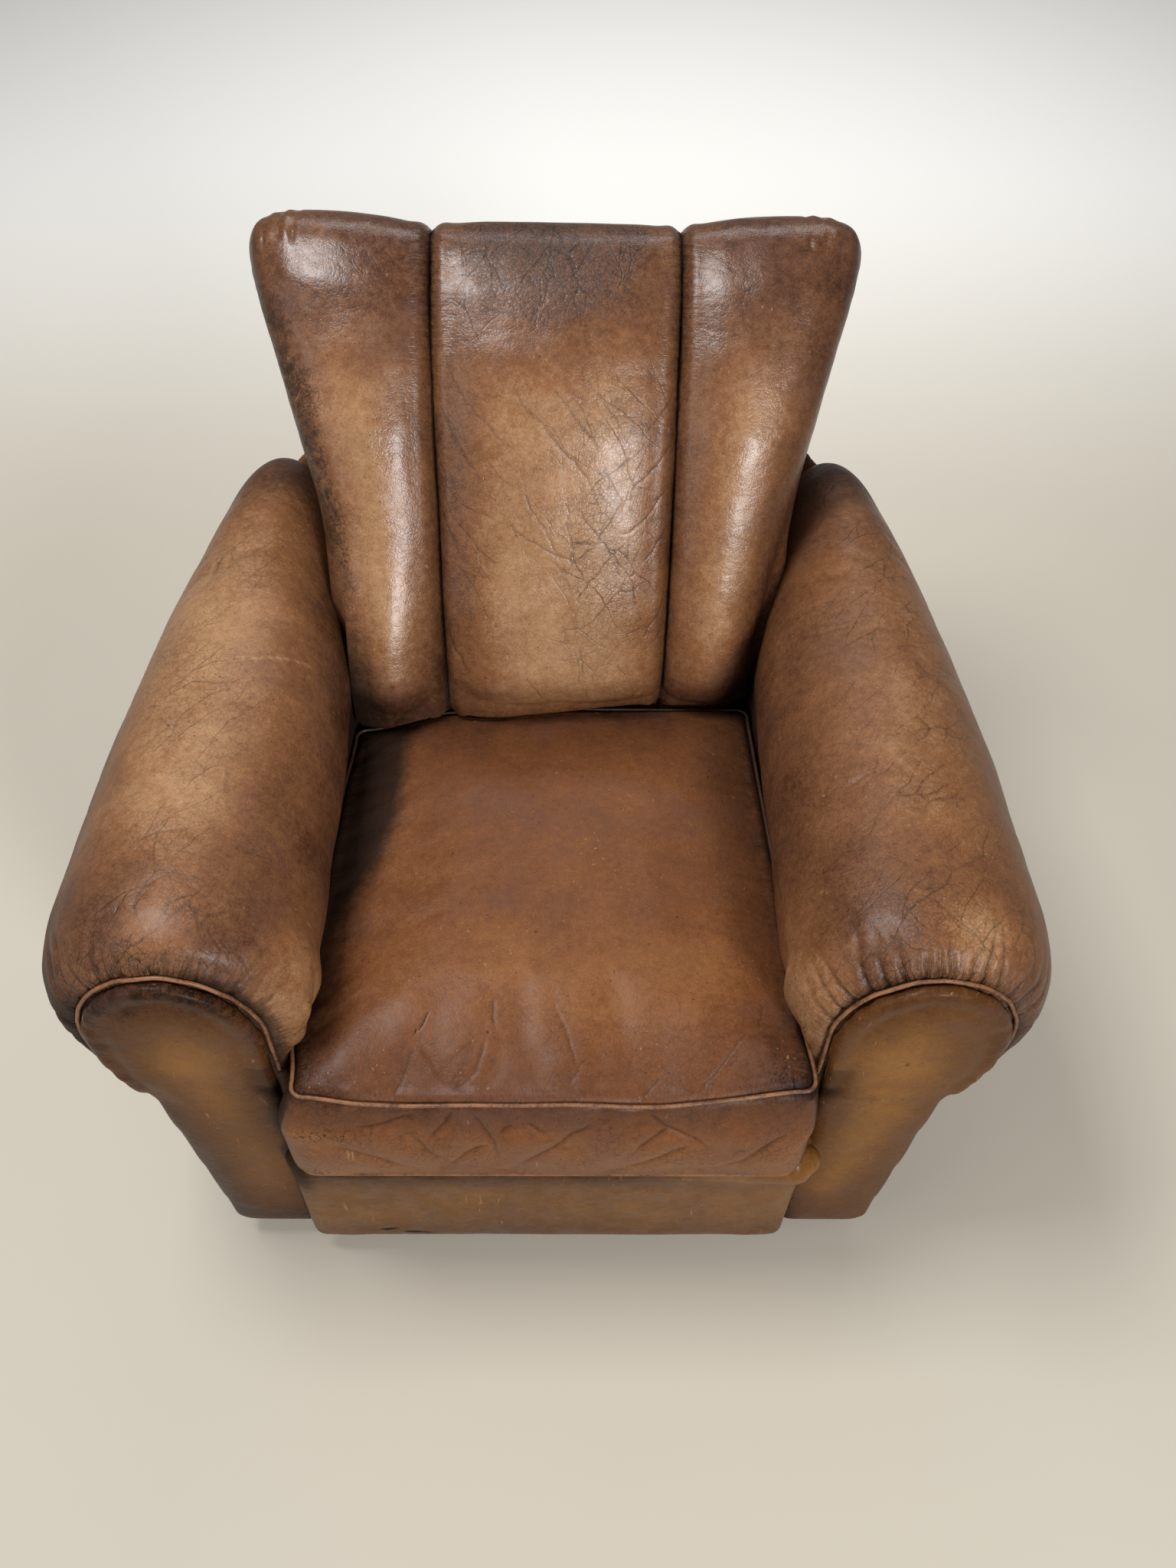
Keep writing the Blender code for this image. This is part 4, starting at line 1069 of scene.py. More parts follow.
def build_arms():
    """Both arms and the piping round their scrolls."""
    hide = leather("arm_leather", seed=1.7, gloss=0.06, net_turn=(0.0, 0.0, 0.7), wax=0.11)
    cord = cord_leather("piping_leather_finish", -0.02)
    for word, side in SIDES.items():
        path = piping_path(side)

        def fine(points):
            gathered = along_path(points, path)[0] < 0.055
            creased = gap_to_runs(points[:, :2], ARM_CREASES[word]) < 0.010
            return gathered | (creased & (points[:, 2] > ARM_SHOULDER))

        arm = pad(f"arm_pad_{word}", f"arm_cover_{word}", sizes().arm_swell,
                  freed(0.004, 0.040, [path]), shape=shape_arm, fine=fine, grid=1.15)
        work_arm(arm.data, word, side)
        hand_over(arm, hide, [f"arm_pad_{word}"])
        piping = cord_piece(f"arm_piping_{word}", path, sizes().piping, False)
        hand_over(piping, cord, [f"facing_piping_{word}"])


# ---------------------------------------------------------------- facings
def work_facing(mesh, side):
    """A roll beside the piping, rubbed middle and shin, dirty edges and nicks."""
    points = read_points(mesh)
    reach, along = along_path(points, piping_path(side))
    front = ease(points[:, 1], FRAME_FRONT - 0.002, FRAME_FRONT - 0.010)
    amount = -0.0012 * hill(reach, 0.0, 0.003)
    amount += 0.0030 * hill(reach, 0.013, 0.008) * front
    amount -= 0.0010 * hill(reach, 0.027, 0.005) * front
    amount += 0.0007 * lumps(points, 0.06, 11.0 + side) * front
    push(mesh, amount)
    out, z = side * points[:, 0], points[:, 2]
    middle = hill(out, 0.318, 0.048) * hill(z, 0.43, 0.070)
    shin = hill(out, 0.300 + 0.10 * (z - 0.2), 0.036) * ease(z, 0.04, 0.20) * (z < 0.45)
    rubbed = 0.10 + 0.62 * np.maximum(middle, 0.80 * shin)
    rim = hill(reach, 0.012, 0.009) * (z > 0.44)
    rubbed -= 0.10 * rim
    dirt_and_shade = 0.75 * hill(reach, 0.0, 0.0028) + 0.30 * hill(reach, 0.030, 0.014)
    dirt_and_shade += 0.45 * ease(out, 0.285, 0.258) * (z < 0.42)
    dirt_and_shade += 0.25 * ease(z, 0.10, 0.035)
    if side > 0:
        dirt_and_shade += 0.45 * hill(out, 0.300, 0.024) * hill(z, 0.365, 0.010)
        dirt_and_shade += 0.95 * hill(out, 0.322, 0.0022) * hill(z, 0.435, 0.0045)
        rubbed += 0.22
    else:
        rubbed += 0.14 * middle
    nick = ease(lumps(points, 0.005, 33.0), 0.30, 0.55) * hill(reach, 0.006, 0.006)
    mark(mesh, dirt_and_shade * (1.0 - 0.6 * rim), rubbed + 0.25 * nick, 0.12, 0.0, along, reach, 0.15)


def build_facings():
    """Both facings, each held along its piping."""
    hide = leather("facing_leather", "facing", seed=4.1, gloss=0.08, specular=0.08, wax=0.10)
    for word, side in SIDES.items():
        facing = pad(f"arm_facing_{word}", f"facing_cover_{word}", 0.004,
                     freed(0.003, 0.020, [piping_path(side)]), smooth=3)
        work_facing(facing.data, side)
        hand_over(facing, hide, [f"arm_facing_{word}"])


# ---------------------------------------------------------------- back
def seam_x(z):
    """How far out the seams between the flutes stand at a height."""
    return SEAM_LOW + (SEAM_TOP - SEAM_LOW) * np.clip((z - FAN_START_Z) / SEAM_CLIMB, 0, 1)


def fan_x(z):
    """How far out the fanned sides of the back stand at a height."""
    t = np.maximum(0.0, (z - FAN_START_Z) / (FAN_TOP_Z - FAN_START_Z))
    return FAN_LOW + (FAN_TOP - FAN_LOW) * t ** FAN_BEND


def seam_gap(points):
    """Distance across from the nearer seam between the flutes."""
    return np.abs(np.abs(points[:, 0]) - seam_x(points[:, 2]))


def shape_flute(points):
    """The foot of the back is stuffed full to its sides and leans out over the cushion."""
    x, y, z = points.T
    front = ease(y, 0.26, 0.16)
    press = foot_press(x)
    outer = np.maximum(0.0, np.abs(x) - WING)
    rake = 0.48 * np.maximum(0.0, z - 0.455) + 4.0 * outer ** 2
    lowest = 0.062 - press + rake + 0.008 * ease(seam_gap(points), 0.016, 0.001)
    full = np.where(outer > 0, ease(z, 0.620, 0.500), ease(z, 0.470, 0.415))
    fill = np.maximum(0.0, y - lowest) * ease(z, 0.387, 0.397) * full
    lean = press * ease(z, 0.390, 0.420) * ease(z, 0.62, 0.45)
    moved = points.copy()
    moved[:, 1] -= np.maximum(fill, lean) * front
    beside_arm = ease(moved[:, 1], 0.110, 0.080) * ease(z, 0.56, 0.50)
    side_wall = np.where(x < 0, 0.2212, 0.2165)
    moved[:, 0] -= np.sign(x) * np.maximum(0.0, np.abs(x) - side_wall) * beside_arm
    return moved


def foot_press(x):
    """How far the back's foot presses the cushion forward, most of all on the left."""
    press = 0.034 * ease(x, -0.10, -0.215) + 0.009 * hill(x, -0.075, 0.05)
    return press - 0.013 * ease(x, -0.01, 0.10)


def work_flute(mesh, side):
    """Gathers beside the seams, creases, corner tucks and old marks of one flute, with shade
    painted into its folds and low beside the arms.
    """
    points = read_points(mesh)
    normals = read_normals(mesh)
    x, y, z = points.T
    gap = seam_gap(points)
    facing_out = (normals[:, 1] < 0.35) | (z > 0.72)
    height = z + 0.6 * np.maximum(0.0, y - 0.10)
    top = ease(z, 0.68, 0.78)

    # gathers: short folds that run out from the seams, close together at the top
    beat = np.sin(height * 2 * math.pi / 0.0115 + 2.6 * lumps(points, 0.03, 4.0 + side))
    pull = np.exp(-gap / 0.008) * (0.20 + 0.80 * top) * facing_out
    amount = -0.0009 * np.maximum(0.0, beat) * pull
    # folds: the gathers' valleys, darkened in the material as painted shade
    folds = 0.40 * np.maximum(0.0, beat - 0.35) * pull * top
    amount += 0.0022 * hill(gap, 0.011, 0.008) * facing_out
    amount += 0.0012 * lumps(points, 0.10, 2.0 * side + 5.0)
    amount += 0.0005 * lumps(points, 0.03, 6.0) * facing_out
    dirt_and_shade = 0.90 * hill(gap, 0.0, 0.0022) + 0.20 * hill(gap, 0.0, 0.012)
    if side == 0:
        to_crease = gap_to_runs(points[:, (0, 2)], FLUTE_CREASES, 0.0040)
        amount -= 0.00012 * valley(to_crease, 0.0021) * facing_out
        # the crease lines, darkened in the material as painted shade
        folds = np.maximum(folds, 0.66 * hill(to_crease, 0.0, 0.0011) * facing_out)
        right_web = hill(x, 0.054, 0.046) * hill(z, 0.61, 0.12)
        left_net = hill(x, -0.085, 0.045) * hill(z, 0.60, 0.13)
        head = ease(z, 0.745, 0.785) * ease(np.abs(x + 0.005), 0.118, 0.070)
        cracked = np.maximum(0.14 + 0.50 * right_web + 0.16 * left_net, 0.74 * head)
        heart = np.exp(-(((x - 0.010) / 0.094) ** 4)) * ease(z, 0.790, 0.690)
        rubbed = 0.27 + 0.49 * heart * ease(z, 0.39, 0.43)
        dirt_and_shade += 0.19 * ease(z, 0.70, 0.785) + 0.10 * ease(z, 0.44, 0.40)
        dirt_and_shade += 0.12 * hill(x, -0.104, 0.018) * ease(z, 0.76, 0.70)
    else:
        across = (np.abs(x) - seam_x(z)) / np.maximum(0.02, fan_x(z) - seam_x(z))
        centre = hill(across, 0.46, 0.28)
        rubbed = 0.26 + 0.50 * centre * ease(z, 0.800, 0.705) * ease(z, 0.40, 0.54)
        dirt_and_shade += 0.36 * ease(across, 0.68, 1.0) * ease(z, 0.45, 0.60)
        dirt_and_shade += 0.19 * ease(z, 0.70, 0.79)
        worn = hill(across, 0.82, 0.16) * ease(z, 0.81, 0.72) * ease(z, 0.48, 0.60) * (side < 0)
        if side > 0:
            dirt_and_shade += 0.20 * ease(z, 0.52, 0.42)
            # painted shade: the low outer part, in the recess beside the arm
            dirt_and_shade += 0.60 * ease(across, 0.45, 0.95) * ease(z, 0.58, 0.46)
        else:
            dirt_and_shade += 0.40 * ease(z, 0.56, 0.43)
            # painted shade: the low outer part, in the recess beside the arm
            dirt_and_shade += 0.50 * ease(across, 0.45, 0.95) * ease(z, 0.57, 0.46)
        dirt_and_shade += 0.34 * worn * (1.0 + lumps(points, 0.007, 31.0))
        rubbed += 0.10 * worn
        cracked = 0.12 + 0.75 * worn
        amount += corner_tucks(points, side)
    push(mesh, amount)
    pull = (0.08 + 0.30 * top) * facing_out
    mark(mesh, dirt_and_shade, rubbed, cracked, folds, height, gap, pull)


def corner_tucks(points, side):
    """A few hard little folds where the hide is turned over the outer top corner."""
    total = np.zeros(len(points))
    for number, (x, z, size) in enumerate(CORNER_TUCKS[side]):
        spot = np.sqrt((np.abs(points[:, 0]) - x) ** 2 + ((points[:, 2] - z) * 0.8) ** 2)
        total += (0.0009 if number % 2 else -0.0016) * hill(spot, 0.0, size * 0.85)
    return total


def build_back():
    """The three flutes, sewn to each other along their seams."""
    look = {"net_turn": (0.0, 0.65, 0.0), "gloss": 0.18, "specular": 0.40, "wax": 0.24}
    finishes = {-1: leather("left_flute_leather", seed=2.3, net_depth=0.6, **look),
                0: leather("middle_flute_leather", seed=6.2, web_size=116.0, **look),
                1: leather("right_flute_leather", seed=8.8, net_depth=0.6, **look)}

    def held(points):
        low = ease(points[:, 2], 0.36, 0.44)
        return ease(seam_gap(points), 0.002, 0.026) * (0.2 + 0.8 * low)

    def fine(points):
        near = seam_gap(points) < 0.018
        middle = np.abs(points[:, 0]) < SEAM_TOP
        return (near | middle | (points[:, 2] > 0.775)) & (points[:, 2] > 0.38)

    for word, side in {"left": -1, "middle": 0, "right": 1}.items():
        flute = pad(f"back_flute_{word}", f"flute_cover_{word}", sizes().flute_swell, held,
                    shape=shape_flute, fine=fine)
        work_flute(flute.data, side)
        hand_over(flute, finishes[side], [f"back_flute_{word}"])


# ---------------------------------------------------------------- cushion
def cushion_plan(inset):
    """Plan of the cushion's edge, anticlockwise from the front right corner."""
    radius = CUSHION_CORNER - inset * 0.5
    front, rear = CUSHION_LOW.y + inset, CUSHION_HIGH.y - inset
    wide, narrow = CUSHION_HALF - inset, CUSHION_HALF_REAR - inset
    arcs = []
    for x, y, start in ((wide, front + radius, -90), (narrow, rear - radius, 0),
                        (-narrow, rear - radius, 90), (-wide, front + radius, 180)):
        turn = np.radians(start + 90.0 * np.arange(9) / 8)
        arcs.append(np.column_stack([x - math.copysign(radius, x) + radius * np.cos(turn),
                                     y + radius * np.sin(turn)]))
    plan = []
    for arc, ahead in zip(arcs, arcs[1:] + arcs[:1]):
        plan.extend(arc)
        plan.extend(np.linspace(arc[-1], ahead[0], 41)[1:-1])
    return plan


def shape_cushion(points):
    """Old cushion: sharp sewn corners, a slack front that hangs over the base."""
    moved = points.copy()
    x, y, z = points.T
    level = z + CUSHION_TILT * (y - FRAME_FRONT) - CUSHION_FOOT
    share = np.clip(level / CUSHION_WALL, 0.0, 1.3)

    # corners drawn out to the sewn point
    for middle_y, half, way in ((CUSHION_LOW.y + CUSHION_CORNER, CUSHION_HALF, -1),
                                (CUSHION_HIGH.y - CUSHION_CORNER, CUSHION_HALF_REAR, 1)):
        ahead = way * (y - middle_y)
        aside = np.abs(x) - (half - CUSHION_CORNER)
        inside = (ahead > 0) & (aside > 0)
        radius = np.hypot(ahead, aside).clip(1e-6)
        pointed = np.where(inside, 2 * ahead * aside / radius ** 2, 0.0)
        draw = 0.0050 * pointed ** 1.5 * (radius / CUSHION_CORNER) * ease(share, 0.45, 0.95)
        moved[:, 0] += np.sign(x) * draw * aside / radius
        moved[:, 1] += way * draw * ahead / radius

    # front: top seam a little back and wavy, border slack, its foot hanging down
    front = ease(y, -0.33, -0.41)
    wave = 0.0022 * np.sin(x * 26.0 + 1.4) + 0.0010 * np.sin(x * 61.0)
    sag = 0.0035 * hill(x, 0.04, 0.12)
    back = 0.0055 + 0.011 * ease(x, 0.09, 0.24) + 0.006 * ease(x, -0.17, -0.24)
    moved[:, 1] += front * (back * ease(share, 0.60, 1.0) - 0.0040 * hill(share, 0.42, 0.30))
    moved[:, 2] += front * (wave - sag + 0.3 * back) * ease(share, 0.55, 1.0)
    moved[:, 2] -= 0.0125 * ease(y, -0.4035, -0.418) * ease(share, 0.50, 0.05)
    flare = ease(y, -0.385, -0.402) * ease(share, 0.94, 0.66) * ease(np.abs(x), 0.17, 0.24)
    moved[:, 0] += flare * np.where(x < 0, -0.0065, 0.003)
    moved[:, 0] += ease(x, -0.15, -0.23) * ease(share, 0.55, 1.0) * (0.013 * front - 0.004)

    # rear: pressed forward by the back, most of all on the left
    rear = ease(y, -0.06, 0.06)
    moved[:, 1] -= rear * np.maximum(0.0, foot_press(x))
    return moved


def cushion_seam(top):
    """Centre line of the cushion's upper or lower piping."""
    seat = CUSHION_EDGE / 2 - (sizes().piping + 0.0003) / math.sqrt(2)
    level = CUSHION_WALL - seat if top else seat
    path = [(x, y, CUSHION_FOOT + level - CUSHION_TILT * (y - FRAME_FRONT))
            for x, y in cushion_plan(seat)]
    return [tuple(p) for p in shape_cushion(np.array(path))]


def work_cushion(mesh):
    """Creases, hollows, tears, smudges and the frayed corner of the cushion, and shade painted
    beside the arms and the back and into its creases.
    """
    points = read_points(mesh)
    normals = read_normals(mesh)
    x, y, z = points.T
    top_seam, top_along = along_path(points, cushion_seam(True), True)
    low_seam, low_along = along_path(points, cushion_seam(False), True)
    seam = np.minimum(top_seam, low_seam)
    along = np.where(top_seam < low_seam, top_along, low_along + 3.0)
    on_top = ease(normals[:, 2], 0.4, 0.75)
    on_front = ease(-normals[:, 1], 0.45, 0.8)
    amount = -0.0012 * hill(seam, 0.0, 0.0028)
    amount += 0.0012 * hill(seam, 0.009, 0.005)

    # pressed creases, then slow hollows and low diagonal wrinkles
    top_gap = gap_to_runs(points[:, :2], SEAT_CREASES)
    front_gap = gap_to_runs(points[:, (0, 2)], FRONT_CREASES, 0.0016)
    amount -= (0.00045 * valley(top_gap, 0.0020) + 0.0008 * hill(top_gap, 0.0, 0.013)) * on_top
    pressed = 0.0012 * valley(front_gap, 0.0022) + 0.0026 * hill(front_gap, 0.0, 0.010)
    amount -= pressed * on_front
    amount += 0.0016 * lumps(points, 0.085, 14.0) * on_top
    amount += 0.0013 * lumps(points, 0.032, 27.0) * on_front
    amount += 0.0006 * lumps(points, 0.030, 17.0, (1.0, 1.0, 0.5))
    turned = np.stack([x * 0.75 + y * 0.65, y * 0.75 - x * 0.65, z], axis=1)
    ripple = lumps(turned, 0.045, 2.5, (0.4, 2.0, 0.4))
    amount -= 0.0011 * np.maximum(0.0, ripple * 2.0 - 0.2) * on_top * ease(x, 0.05, -0.20)
    tear = hill(gap_to_runs(points[:, :2], SEAT_TEARS), 0.0, 0.0010) * on_top
    amount -= 0.0008 * tear
    push(mesh, amount)

    side_share = np.abs(x) / (CUSHION_HALF - 0.05 * (y - FRAME_FRONT))
    heart = ease(side_share, 1.0, 0.60) * ease(y, 0.07, -0.06)
    rubbed = 0.30 + 0.26 * heart * on_top + 0.34 * on_front * ease(z, 0.400, 0.350)
    rubbed += 0.14 * hill(y, -0.29, 0.05) * on_top
    rubbed -= 0.14 * ease(y, -0.335, -0.395) * on_top
    dirt_and_shade = 0.85 * hill(seam, 0.0, 0.0025) + 0.10 * hill(seam, 0.0, 0.010)
    # painted shade along the sides of the top, in the gaps beside the arms; darker towards the
    # rear
    dirt_and_shade += on_top * (0.55 * ease(side_share, 0.80, 0.98) + 0.25 * ease(y, 0.0, 0.08))
    # painted shadow in the rear left, between the left arm and the back
    dirt_and_shade += 1.00 * on_top * ease(x, -0.125, -0.195) * ease(y, -0.24, -0.07)
    # painted shadow of the left arm along the seat's left edge
    dirt_and_shade += 0.40 * on_top * ease(x, -0.150, -0.205) * ease(y, -0.385, -0.30)
    # painted shade on the cushion's sides, down in the gaps beside the arms
    dirt_and_shade += 0.70 * (1.0 - on_top) * (1.0 - on_front) * ease(np.abs(x), 0.20, 0.22)
    smudge = ease(lumps(points, 0.030, 40.0), 0.10, 0.55) * ease(y, -0.30, -0.40) * on_top
    dirt_and_shade += 0.32 * smudge
    frayed = hill(x, -0.215, 0.034) * hill(z, 0.362, 0.016) * on_front
    frayed = np.maximum(frayed, hill(x, -0.225, 0.030) * hill(z, 0.280, 0.014) * on_front)
    torn = ease(lumps(points, 0.0045, 51.0), -0.05, 0.35) * frayed
    dirt_and_shade += 0.55 * torn + tear
    rubbed += 0.20 * frayed
    cracked = 0.14 + 0.50 * frayed + 0.10 * on_front + 0.10 * ease(y, -0.25, -0.38)
    # the crease lines, darkened in the material as painted shade
    folds = 0.56 * hill(top_gap, 0.0, 0.0011) * on_top
    folds += 0.84 * hill(front_gap, 0.0, 0.0012) * on_front
    pull = (0.12 + 0.40 * ease(side_share, 0.75, 1.0)) * (1.0 - 0.8 * on_front)
    mark(mesh, dirt_and_shade, rubbed, cracked, folds, along, seam, pull)


def build_cushion():
    """The loose cushion and its two runs of piping."""
    hide = leather("cushion_leather", "seat", seed=3.4, gloss=0.05, net_depth=0.55,
                   net_turn=(0.0, 0.0, 0.75), specular=0.16, wax=0.07)
    cord = cord_leather("cushion_piping_finish", painted_rear_shade=0.86)
    seams = {"top": cushion_seam(True), "bottom": cushion_seam(False)}

    def fine(points):
        return (points[:, 1] < -0.300) | (gap_to_paths(points, seams.values(), True) < 0.014)

    cushion = pad("seat_cushion", "seat_cushion_cover", sizes().seat_swell,
                  freed(0.003, 0.026, seams.values(), True), smooth=4, spare=0.004,
                  shape=shape_cushion, fine=fine)
    work_cushion(cushion.data)
    hand_over(cushion, hide, ["seat_cushion"])
    for word, path in seams.items():
        piping = cord_piece(f"seat_piping_{word}", path, sizes().piping, True)
        hand_over(piping, cord, [f"cushion_piping_{word}"])


# ---------------------------------------------------------------- base and outside panels
def shape_border(points):
    """The border stands out past the frame in front of the arms, further on the left."""
    x, y, z = points.T
    moved = points.copy()
    flare = ease(y, -0.3885, -0.398) * ease(np.abs(x), 0.20, 0.25)
    moved[:, 0] += flare * np.where(x < 0, -0.010, 0.002 + 0.004 * ease(z, 0.15, 0.24))
    return moved


def work_border(mesh):
    """The border's rolled top edge with a highlight painted on its right, puckered ends, shade
    painted under the cushion, soiling and one long scuff.
    """
    points = read_points(mesh)
    x, y, z = points.T
    out = np.abs(x) / BORDER_HALF
    roll = ease(z, 0.205, 0.235)
    amount = 0.0009 * lumps(points, 0.09, 24.0) + 0.0004 * lumps(points, 0.03, 25.0)
    corner = ease(out, 0.86, 1.0)
    amount -= 0.0016 * np.maximum(0.0, np.sin(out * 95.0 + z * 60.0)) * corner * roll
    amount += 0.0030 * hill(out, 0.95, 0.03) * roll + 0.0045 * ease(y, -0.39, -0.40)
    amount += 0.0100 * hill(z, 0.243, 0.015) * ease(x, 0.09, 0.20)
    amount -= 0.0010 * hill(z, 0.208, 0.010) * ease(out, 0.3, 0.9)
    push(mesh, amount)
    rubbed = 0.20 + 0.20 * ease(z, 0.05, 0.12) * ease(z, 0.22, 0.16)
    # painted highlight: the rolled top edge on the right is made lighter
    rubbed += 0.30 * ease(z, 0.19, 0.225) * ease(x, 0.12, 0.20)
    rubbed += 0.09 * lumps(points, 0.045, 63.0, (1.0, 1.0, 0.25))
    # painted shade under the cushion's overhang, fading out to the right; darker towards the
    # bottom
    dirt_and_shade = 0.56 * ease(z, 0.148, 0.222) * ease(x, 0.22, 0.06) + 0.25 * ease(z, 0.06, 0.036)
    dirt_and_shade += 0.35 * ease(out, 0.90, 1.0)
    scuff = ease(lumps(points, 0.010, 61.0, (0.4, 1.0, 1.6)), -0.45, 0.10)
    slant = z + 0.31 * (x + 0.165)
    dirt_and_shade += 1.3 * scuff * hill(x, -0.165, 0.036) * hill(slant, 0.066, 0.0065)
    mark(mesh, dirt_and_shade, rubbed, 0.10, 0.0)


def build_border():
    """The padded border below the cushion."""
    hide = leather("border_leather", "facing", seed=5.5, gloss=0.10, lean=0.22,
                   specular=0.10, wax=0.30)

    def held(points):
        return 0.3 + 0.7 * ease(points[:, 2], 0.20, 0.24)

    border = pad("front_border", "front_border_cover", 0.004, held, smooth=5,
                 shape=shape_border)
    work_border(border.data)
    hand_over(border, hide, ["front_border"])


def raise_edge(mesh, tree):
    """Draw the top edge of an outside arm panel up to the underside of the arm."""
    points = read_points(mesh)
    top = points[:, 2].max()
    for index in np.flatnonzero(points[:, 2] > top - 0.060):
        x, y, z = points[index]
        hit = tree.ray_cast(Vector((x, y, top + 0.0002)), Vector((0.0, 0.0, 1.0)), 0.080)
        if hit[0] is not None:
            reach = min(0.024, max(0.0, hit[3] - 0.003))
            points[index, 2] += reach * ease(z, top - 0.060, top)
    write_points(mesh, points)


def work_panel(mesh, seed):
    """A stretched outside panel: nearly flat, slack in places, rubbed across its middle and
    darker at its top and bottom.
    """
    points = read_points(mesh)
    low, high = points.min(axis=0), points.max(axis=0)
    amount = 0.0009 * lumps(points, 0.13, seed) + 0.0004 * lumps(points, 0.04, seed + 2.0)
    drag = lumps(points, 0.05, seed + 5.0, (1.0, 1.0, 0.25))
    amount -= 0.0005 * np.maximum(0.0, drag * 2.0 - 0.3)
    push(mesh, amount)
    up = (points[:, 2] - low[2]) / (high[2] - low[2])
    dirt_and_shade = 0.35 * ease(up, 0.16, 0.0) + 0.20 * ease(up, 0.85, 1.0)
    rubbed = 0.26 + 0.20 * ease(up, 0.1, 0.4) * ease(up, 1.0, 0.7)
    mark(mesh, dirt_and_shade, rubbed, 0.12, 0.0)


def build_panels():
    """The stretched panels outside the arms and behind the back."""
    hide = leather("panel_leather", seed=9.3, net_turn=(0.0, 0.6, 0.0), net_depth=0.5)
    tree = solid_tree(frame["nodes"])
    for number, node in enumerate(("outside_arm_left", "outside_arm_right", "outside_back")):
        panel = take_cover(node, f"{node}_cover", sizes().grid * 0.75)
        relax(panel.data, spread(in_open_air(panel.data, tree), panel.data, 1) > 0.15, 5)
        if node.startswith("outside_arm"):
            raise_edge(panel.data, solid_tree([node.replace("outside_arm", "arm_pad")]))
        work_panel(panel.data, 70.0 + number)
        hand_over(panel, hide, [node])


# ---------------------------------------------------------------- frame finishes
def finish_hidden():
    """Materials for the pieces that keep the frame's own shape."""
    tone = colours()
    made = {
        "beech": beech(),
        "dark_wood": dark_wood(),
        "jute": woven("jute_finish", tone.jute, 0.0022, 0.0004),
        "deck_cloth": woven("deck_cloth_finish", tone.brown, 0.0010, 0.0002),
        "black_cotton": woven("black_cotton_finish", (0.022, 0.021, 0.020), 0.0009, 0.0002),
        "spring_steel": spring_steel(),
    }
    for row in frame["record"]["subparts"]:
        if row["material_slot"] in made:
            mesh = frame["nodes"][row["node"]].data
            for index in range(len(mesh.materials)):
                mesh.materials[index] = made[row["material_slot"]]


# ---------------------------------------------------------------- stage
def add_light(name, place, target, size, power, colour=(1.0, 1.0, 1.0)):
    light = bpy.data.lights.new(name, "AREA")
    light.shape = "RECTANGLE"
    light.size, light.size_y = size
    light.energy = power
    light.color = colour
    lamp = put_in_scene(name, light)
    lamp.location = place
    lamp.rotation_euler = (Vector(target) - Vector(place)).to_track_quat("-Z", "Y").to_euler()


def add_floor():
    mesh = bpy.data.meshes.new("floor")
    with editing(mesh) as bm:
        bmesh.ops.create_grid(bm, x_segments=2, y_segments=2, size=9.0)
    floor = put_in_scene("floor", mesh)
    finish = Finish("floor_finish")
    dust = finish.noise(finish.place(), 3.0, 4.0, 0.6)
    pale = colours().floor
    colour = finish.mix(pale, [c * 0.96 for c in pale], dust)
    # painted light: the floor is made paler further back, as if more brightly lit there
    far = finish.split(finish.place())[1].between(0.7, 2.2)
    colour = finish.mix(colour, (0.84, 0.83, 0.80), far)
    mesh.materials.append(finish.finish(colour, 0.7, dust * 0.0001))


def add_camera():
    """A standing person's view, looking down into the seat."""
    pitch, yaw, roll = (math.radians(turn) for turn in EYE_TURN)
    ahead = Vector((math.sin(yaw) * math.cos(pitch), math.cos(yaw) * math.cos(pitch),
                    -math.sin(pitch)))
    right = Vector((math.cos(yaw), -math.sin(yaw), 0.0))
    up = right.cross(ahead)
    across = right * math.cos(roll) + up * math.sin(roll)
    tall = up * math.cos(roll) - right * math.sin(roll)
    data = bpy.data.cameras.new("camera")
    data.lens = LENS
    data.sensor_width = 36.0
    camera = put_in_scene("camera", data)
    turn = Matrix((across, tall, -ahead)).transposed()
    camera.matrix_world = Matrix.Translation(EYE) @ turn.to_4x4()
    bpy.context.scene.camera = camera


def build_stage():
    """A pale studio: soft lights, a floor and a camera."""
    scene = bpy.context.scene
    scene.view_settings.view_transform = "Standard"
    world = bpy.data.worlds.new("studio")
    scene.world = world
    world.use_nodes = True
    sky = world.node_tree.nodes["Background"].inputs
    sky["Color"].default_value = (1.0, 0.98, 0.95, 1.0)
    sky["Strength"].default_value = 0.17
    add_light("overhead", (-0.9, -0.1, 2.9), (0.0, -0.05, 0.4), (1.0, 0.8), 48.0)
    add_light("window", (1.15, -2.65, 1.96), (0.0, 0.0, 0.5), (0.6, 0.75), 66.0)
    add_light("fill", (-2.3, -1.6, 1.9), (0.0, 0.0, 0.4), (1.4, 1.4), 11.0)
    add_light("rear", (0.3, 1.8, 2.5), (0.1, 3.6, 0.0), (2.2, 0.8), 60.0)
    add_floor()
    add_camera()


# ---------------------------------------------------------------- operators
class CHAIR_OT_arms(bpy.types.Operator):
    """Cover and gather both arms, and lay the piping round their scrolls."""

    bl_idname = "chair.arms"
    bl_label = "Arms"

    def execute(self, context):
        build_arms()
        return {"FINISHED"}


class CHAIR_OT_facings(bpy.types.Operator):
    """Pad the scroll on the front of each arm."""

    bl_idname = "chair.facings"
    bl_label = "Arm facings"

    def execute(self, context):
        build_facings()
        return {"FINISHED"}


class CHAIR_OT_back(bpy.types.Operator):
    """Stuff and sew the three flutes of the back."""

    bl_idname = "chair.back"
    bl_label = "Fluted back"

    def execute(self, context):
        build_back()
        return {"FINISHED"}


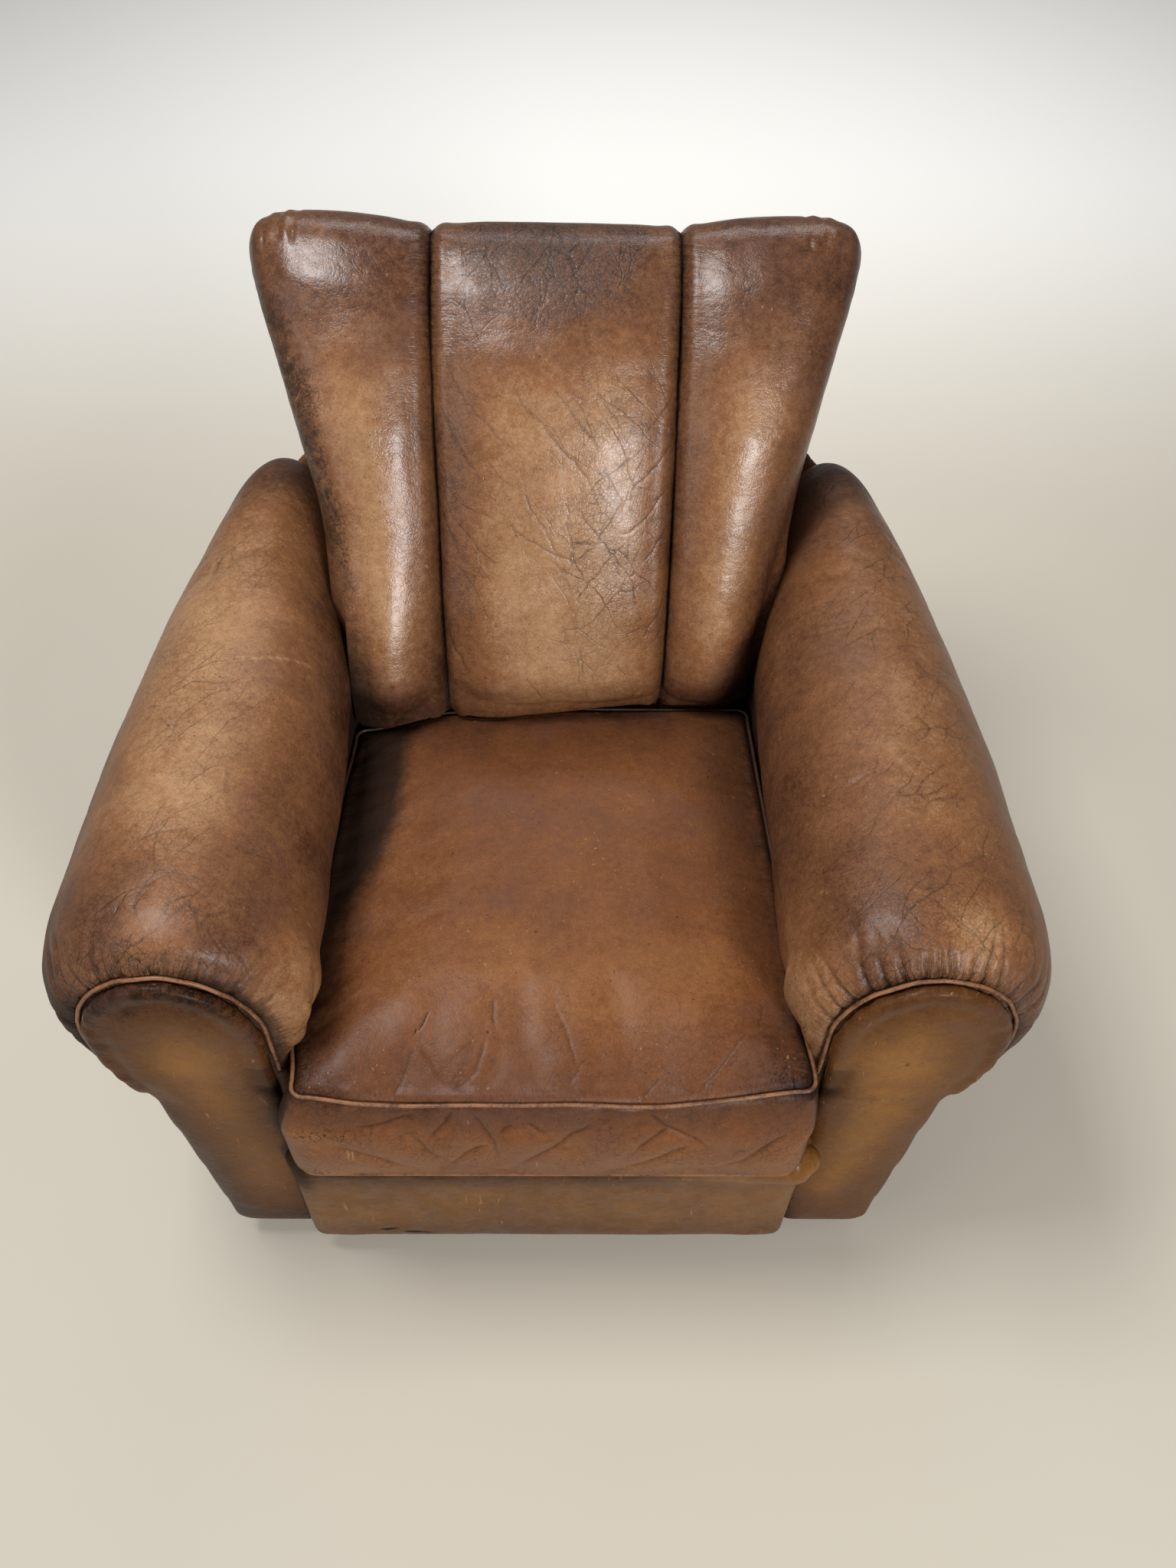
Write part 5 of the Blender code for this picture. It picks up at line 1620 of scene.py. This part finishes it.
class CHAIR_OT_cushion(bpy.types.Operator):
    """Fill the loose seat cushion and pipe its edges."""

    bl_idname = "chair.cushion"
    bl_label = "Seat cushion"

    def execute(self, context):
        build_cushion()
        return {"FINISHED"}


class CHAIR_OT_border(bpy.types.Operator):
    """Pad the front border of the base."""

    bl_idname = "chair.border"
    bl_label = "Front border"

    def execute(self, context):
        build_border()
        return {"FINISHED"}


class CHAIR_OT_panels(bpy.types.Operator):
    """Stretch the outside arm panels and the outside back."""

    bl_idname = "chair.panels"
    bl_label = "Outside panels"

    def execute(self, context):
        build_panels()
        return {"FINISHED"}


class CHAIR_OT_hidden(bpy.types.Operator):
    """Finish the wood, webbing, springs and cloth of the frame."""

    bl_idname = "chair.hidden"
    bl_label = "Frame and springing"

    def execute(self, context):
        finish_hidden()
        return {"FINISHED"}


class CHAIR_OT_stage(bpy.types.Operator):
    """Set the floor, the lights and the camera."""

    bl_idname = "chair.stage"
    bl_label = "Stage"

    def execute(self, context):
        build_stage()
        return {"FINISHED"}


class CHAIR_PT_panel(bpy.types.Panel):
    """The chair's settings and steps, in the sidebar."""

    bl_label = "Worn club chair"
    bl_idname = "CHAIR_PT_panel"
    bl_space_type = "VIEW_3D"
    bl_region_type = "UI"
    bl_category = "Club Chair"

    def draw(self, context):
        for group in (context.scene.chair_sizes, context.scene.chair_colours):
            for name in group.__annotations__:
                self.layout.prop(group, name)
        for step in STEPS:
            self.layout.operator(step.bl_idname)


STEPS = (CHAIR_OT_hidden, CHAIR_OT_panels, CHAIR_OT_border, CHAIR_OT_cushion, CHAIR_OT_arms,
         CHAIR_OT_facings, CHAIR_OT_back, CHAIR_OT_stage)
CLASSES = (ChairSizes, ChairColours, *STEPS, CHAIR_PT_panel)


def register():
    for item in CLASSES:
        bpy.utils.register_class(item)
    bpy.types.Scene.chair_sizes = PointerProperty(type=ChairSizes)
    bpy.types.Scene.chair_colours = PointerProperty(type=ChairColours)


def unregister():
    del bpy.types.Scene.chair_colours
    del bpy.types.Scene.chair_sizes
    for item in reversed(CLASSES):
        bpy.utils.unregister_class(item)


def main():
    register()
    bpy.ops.chair.hidden()
    bpy.ops.chair.panels()
    bpy.ops.chair.border()
    bpy.ops.chair.cushion()
    bpy.ops.chair.arms()
    bpy.ops.chair.facings()
    bpy.ops.chair.back()
    bpy.ops.chair.stage()


if __name__ == "__main__":
    main()
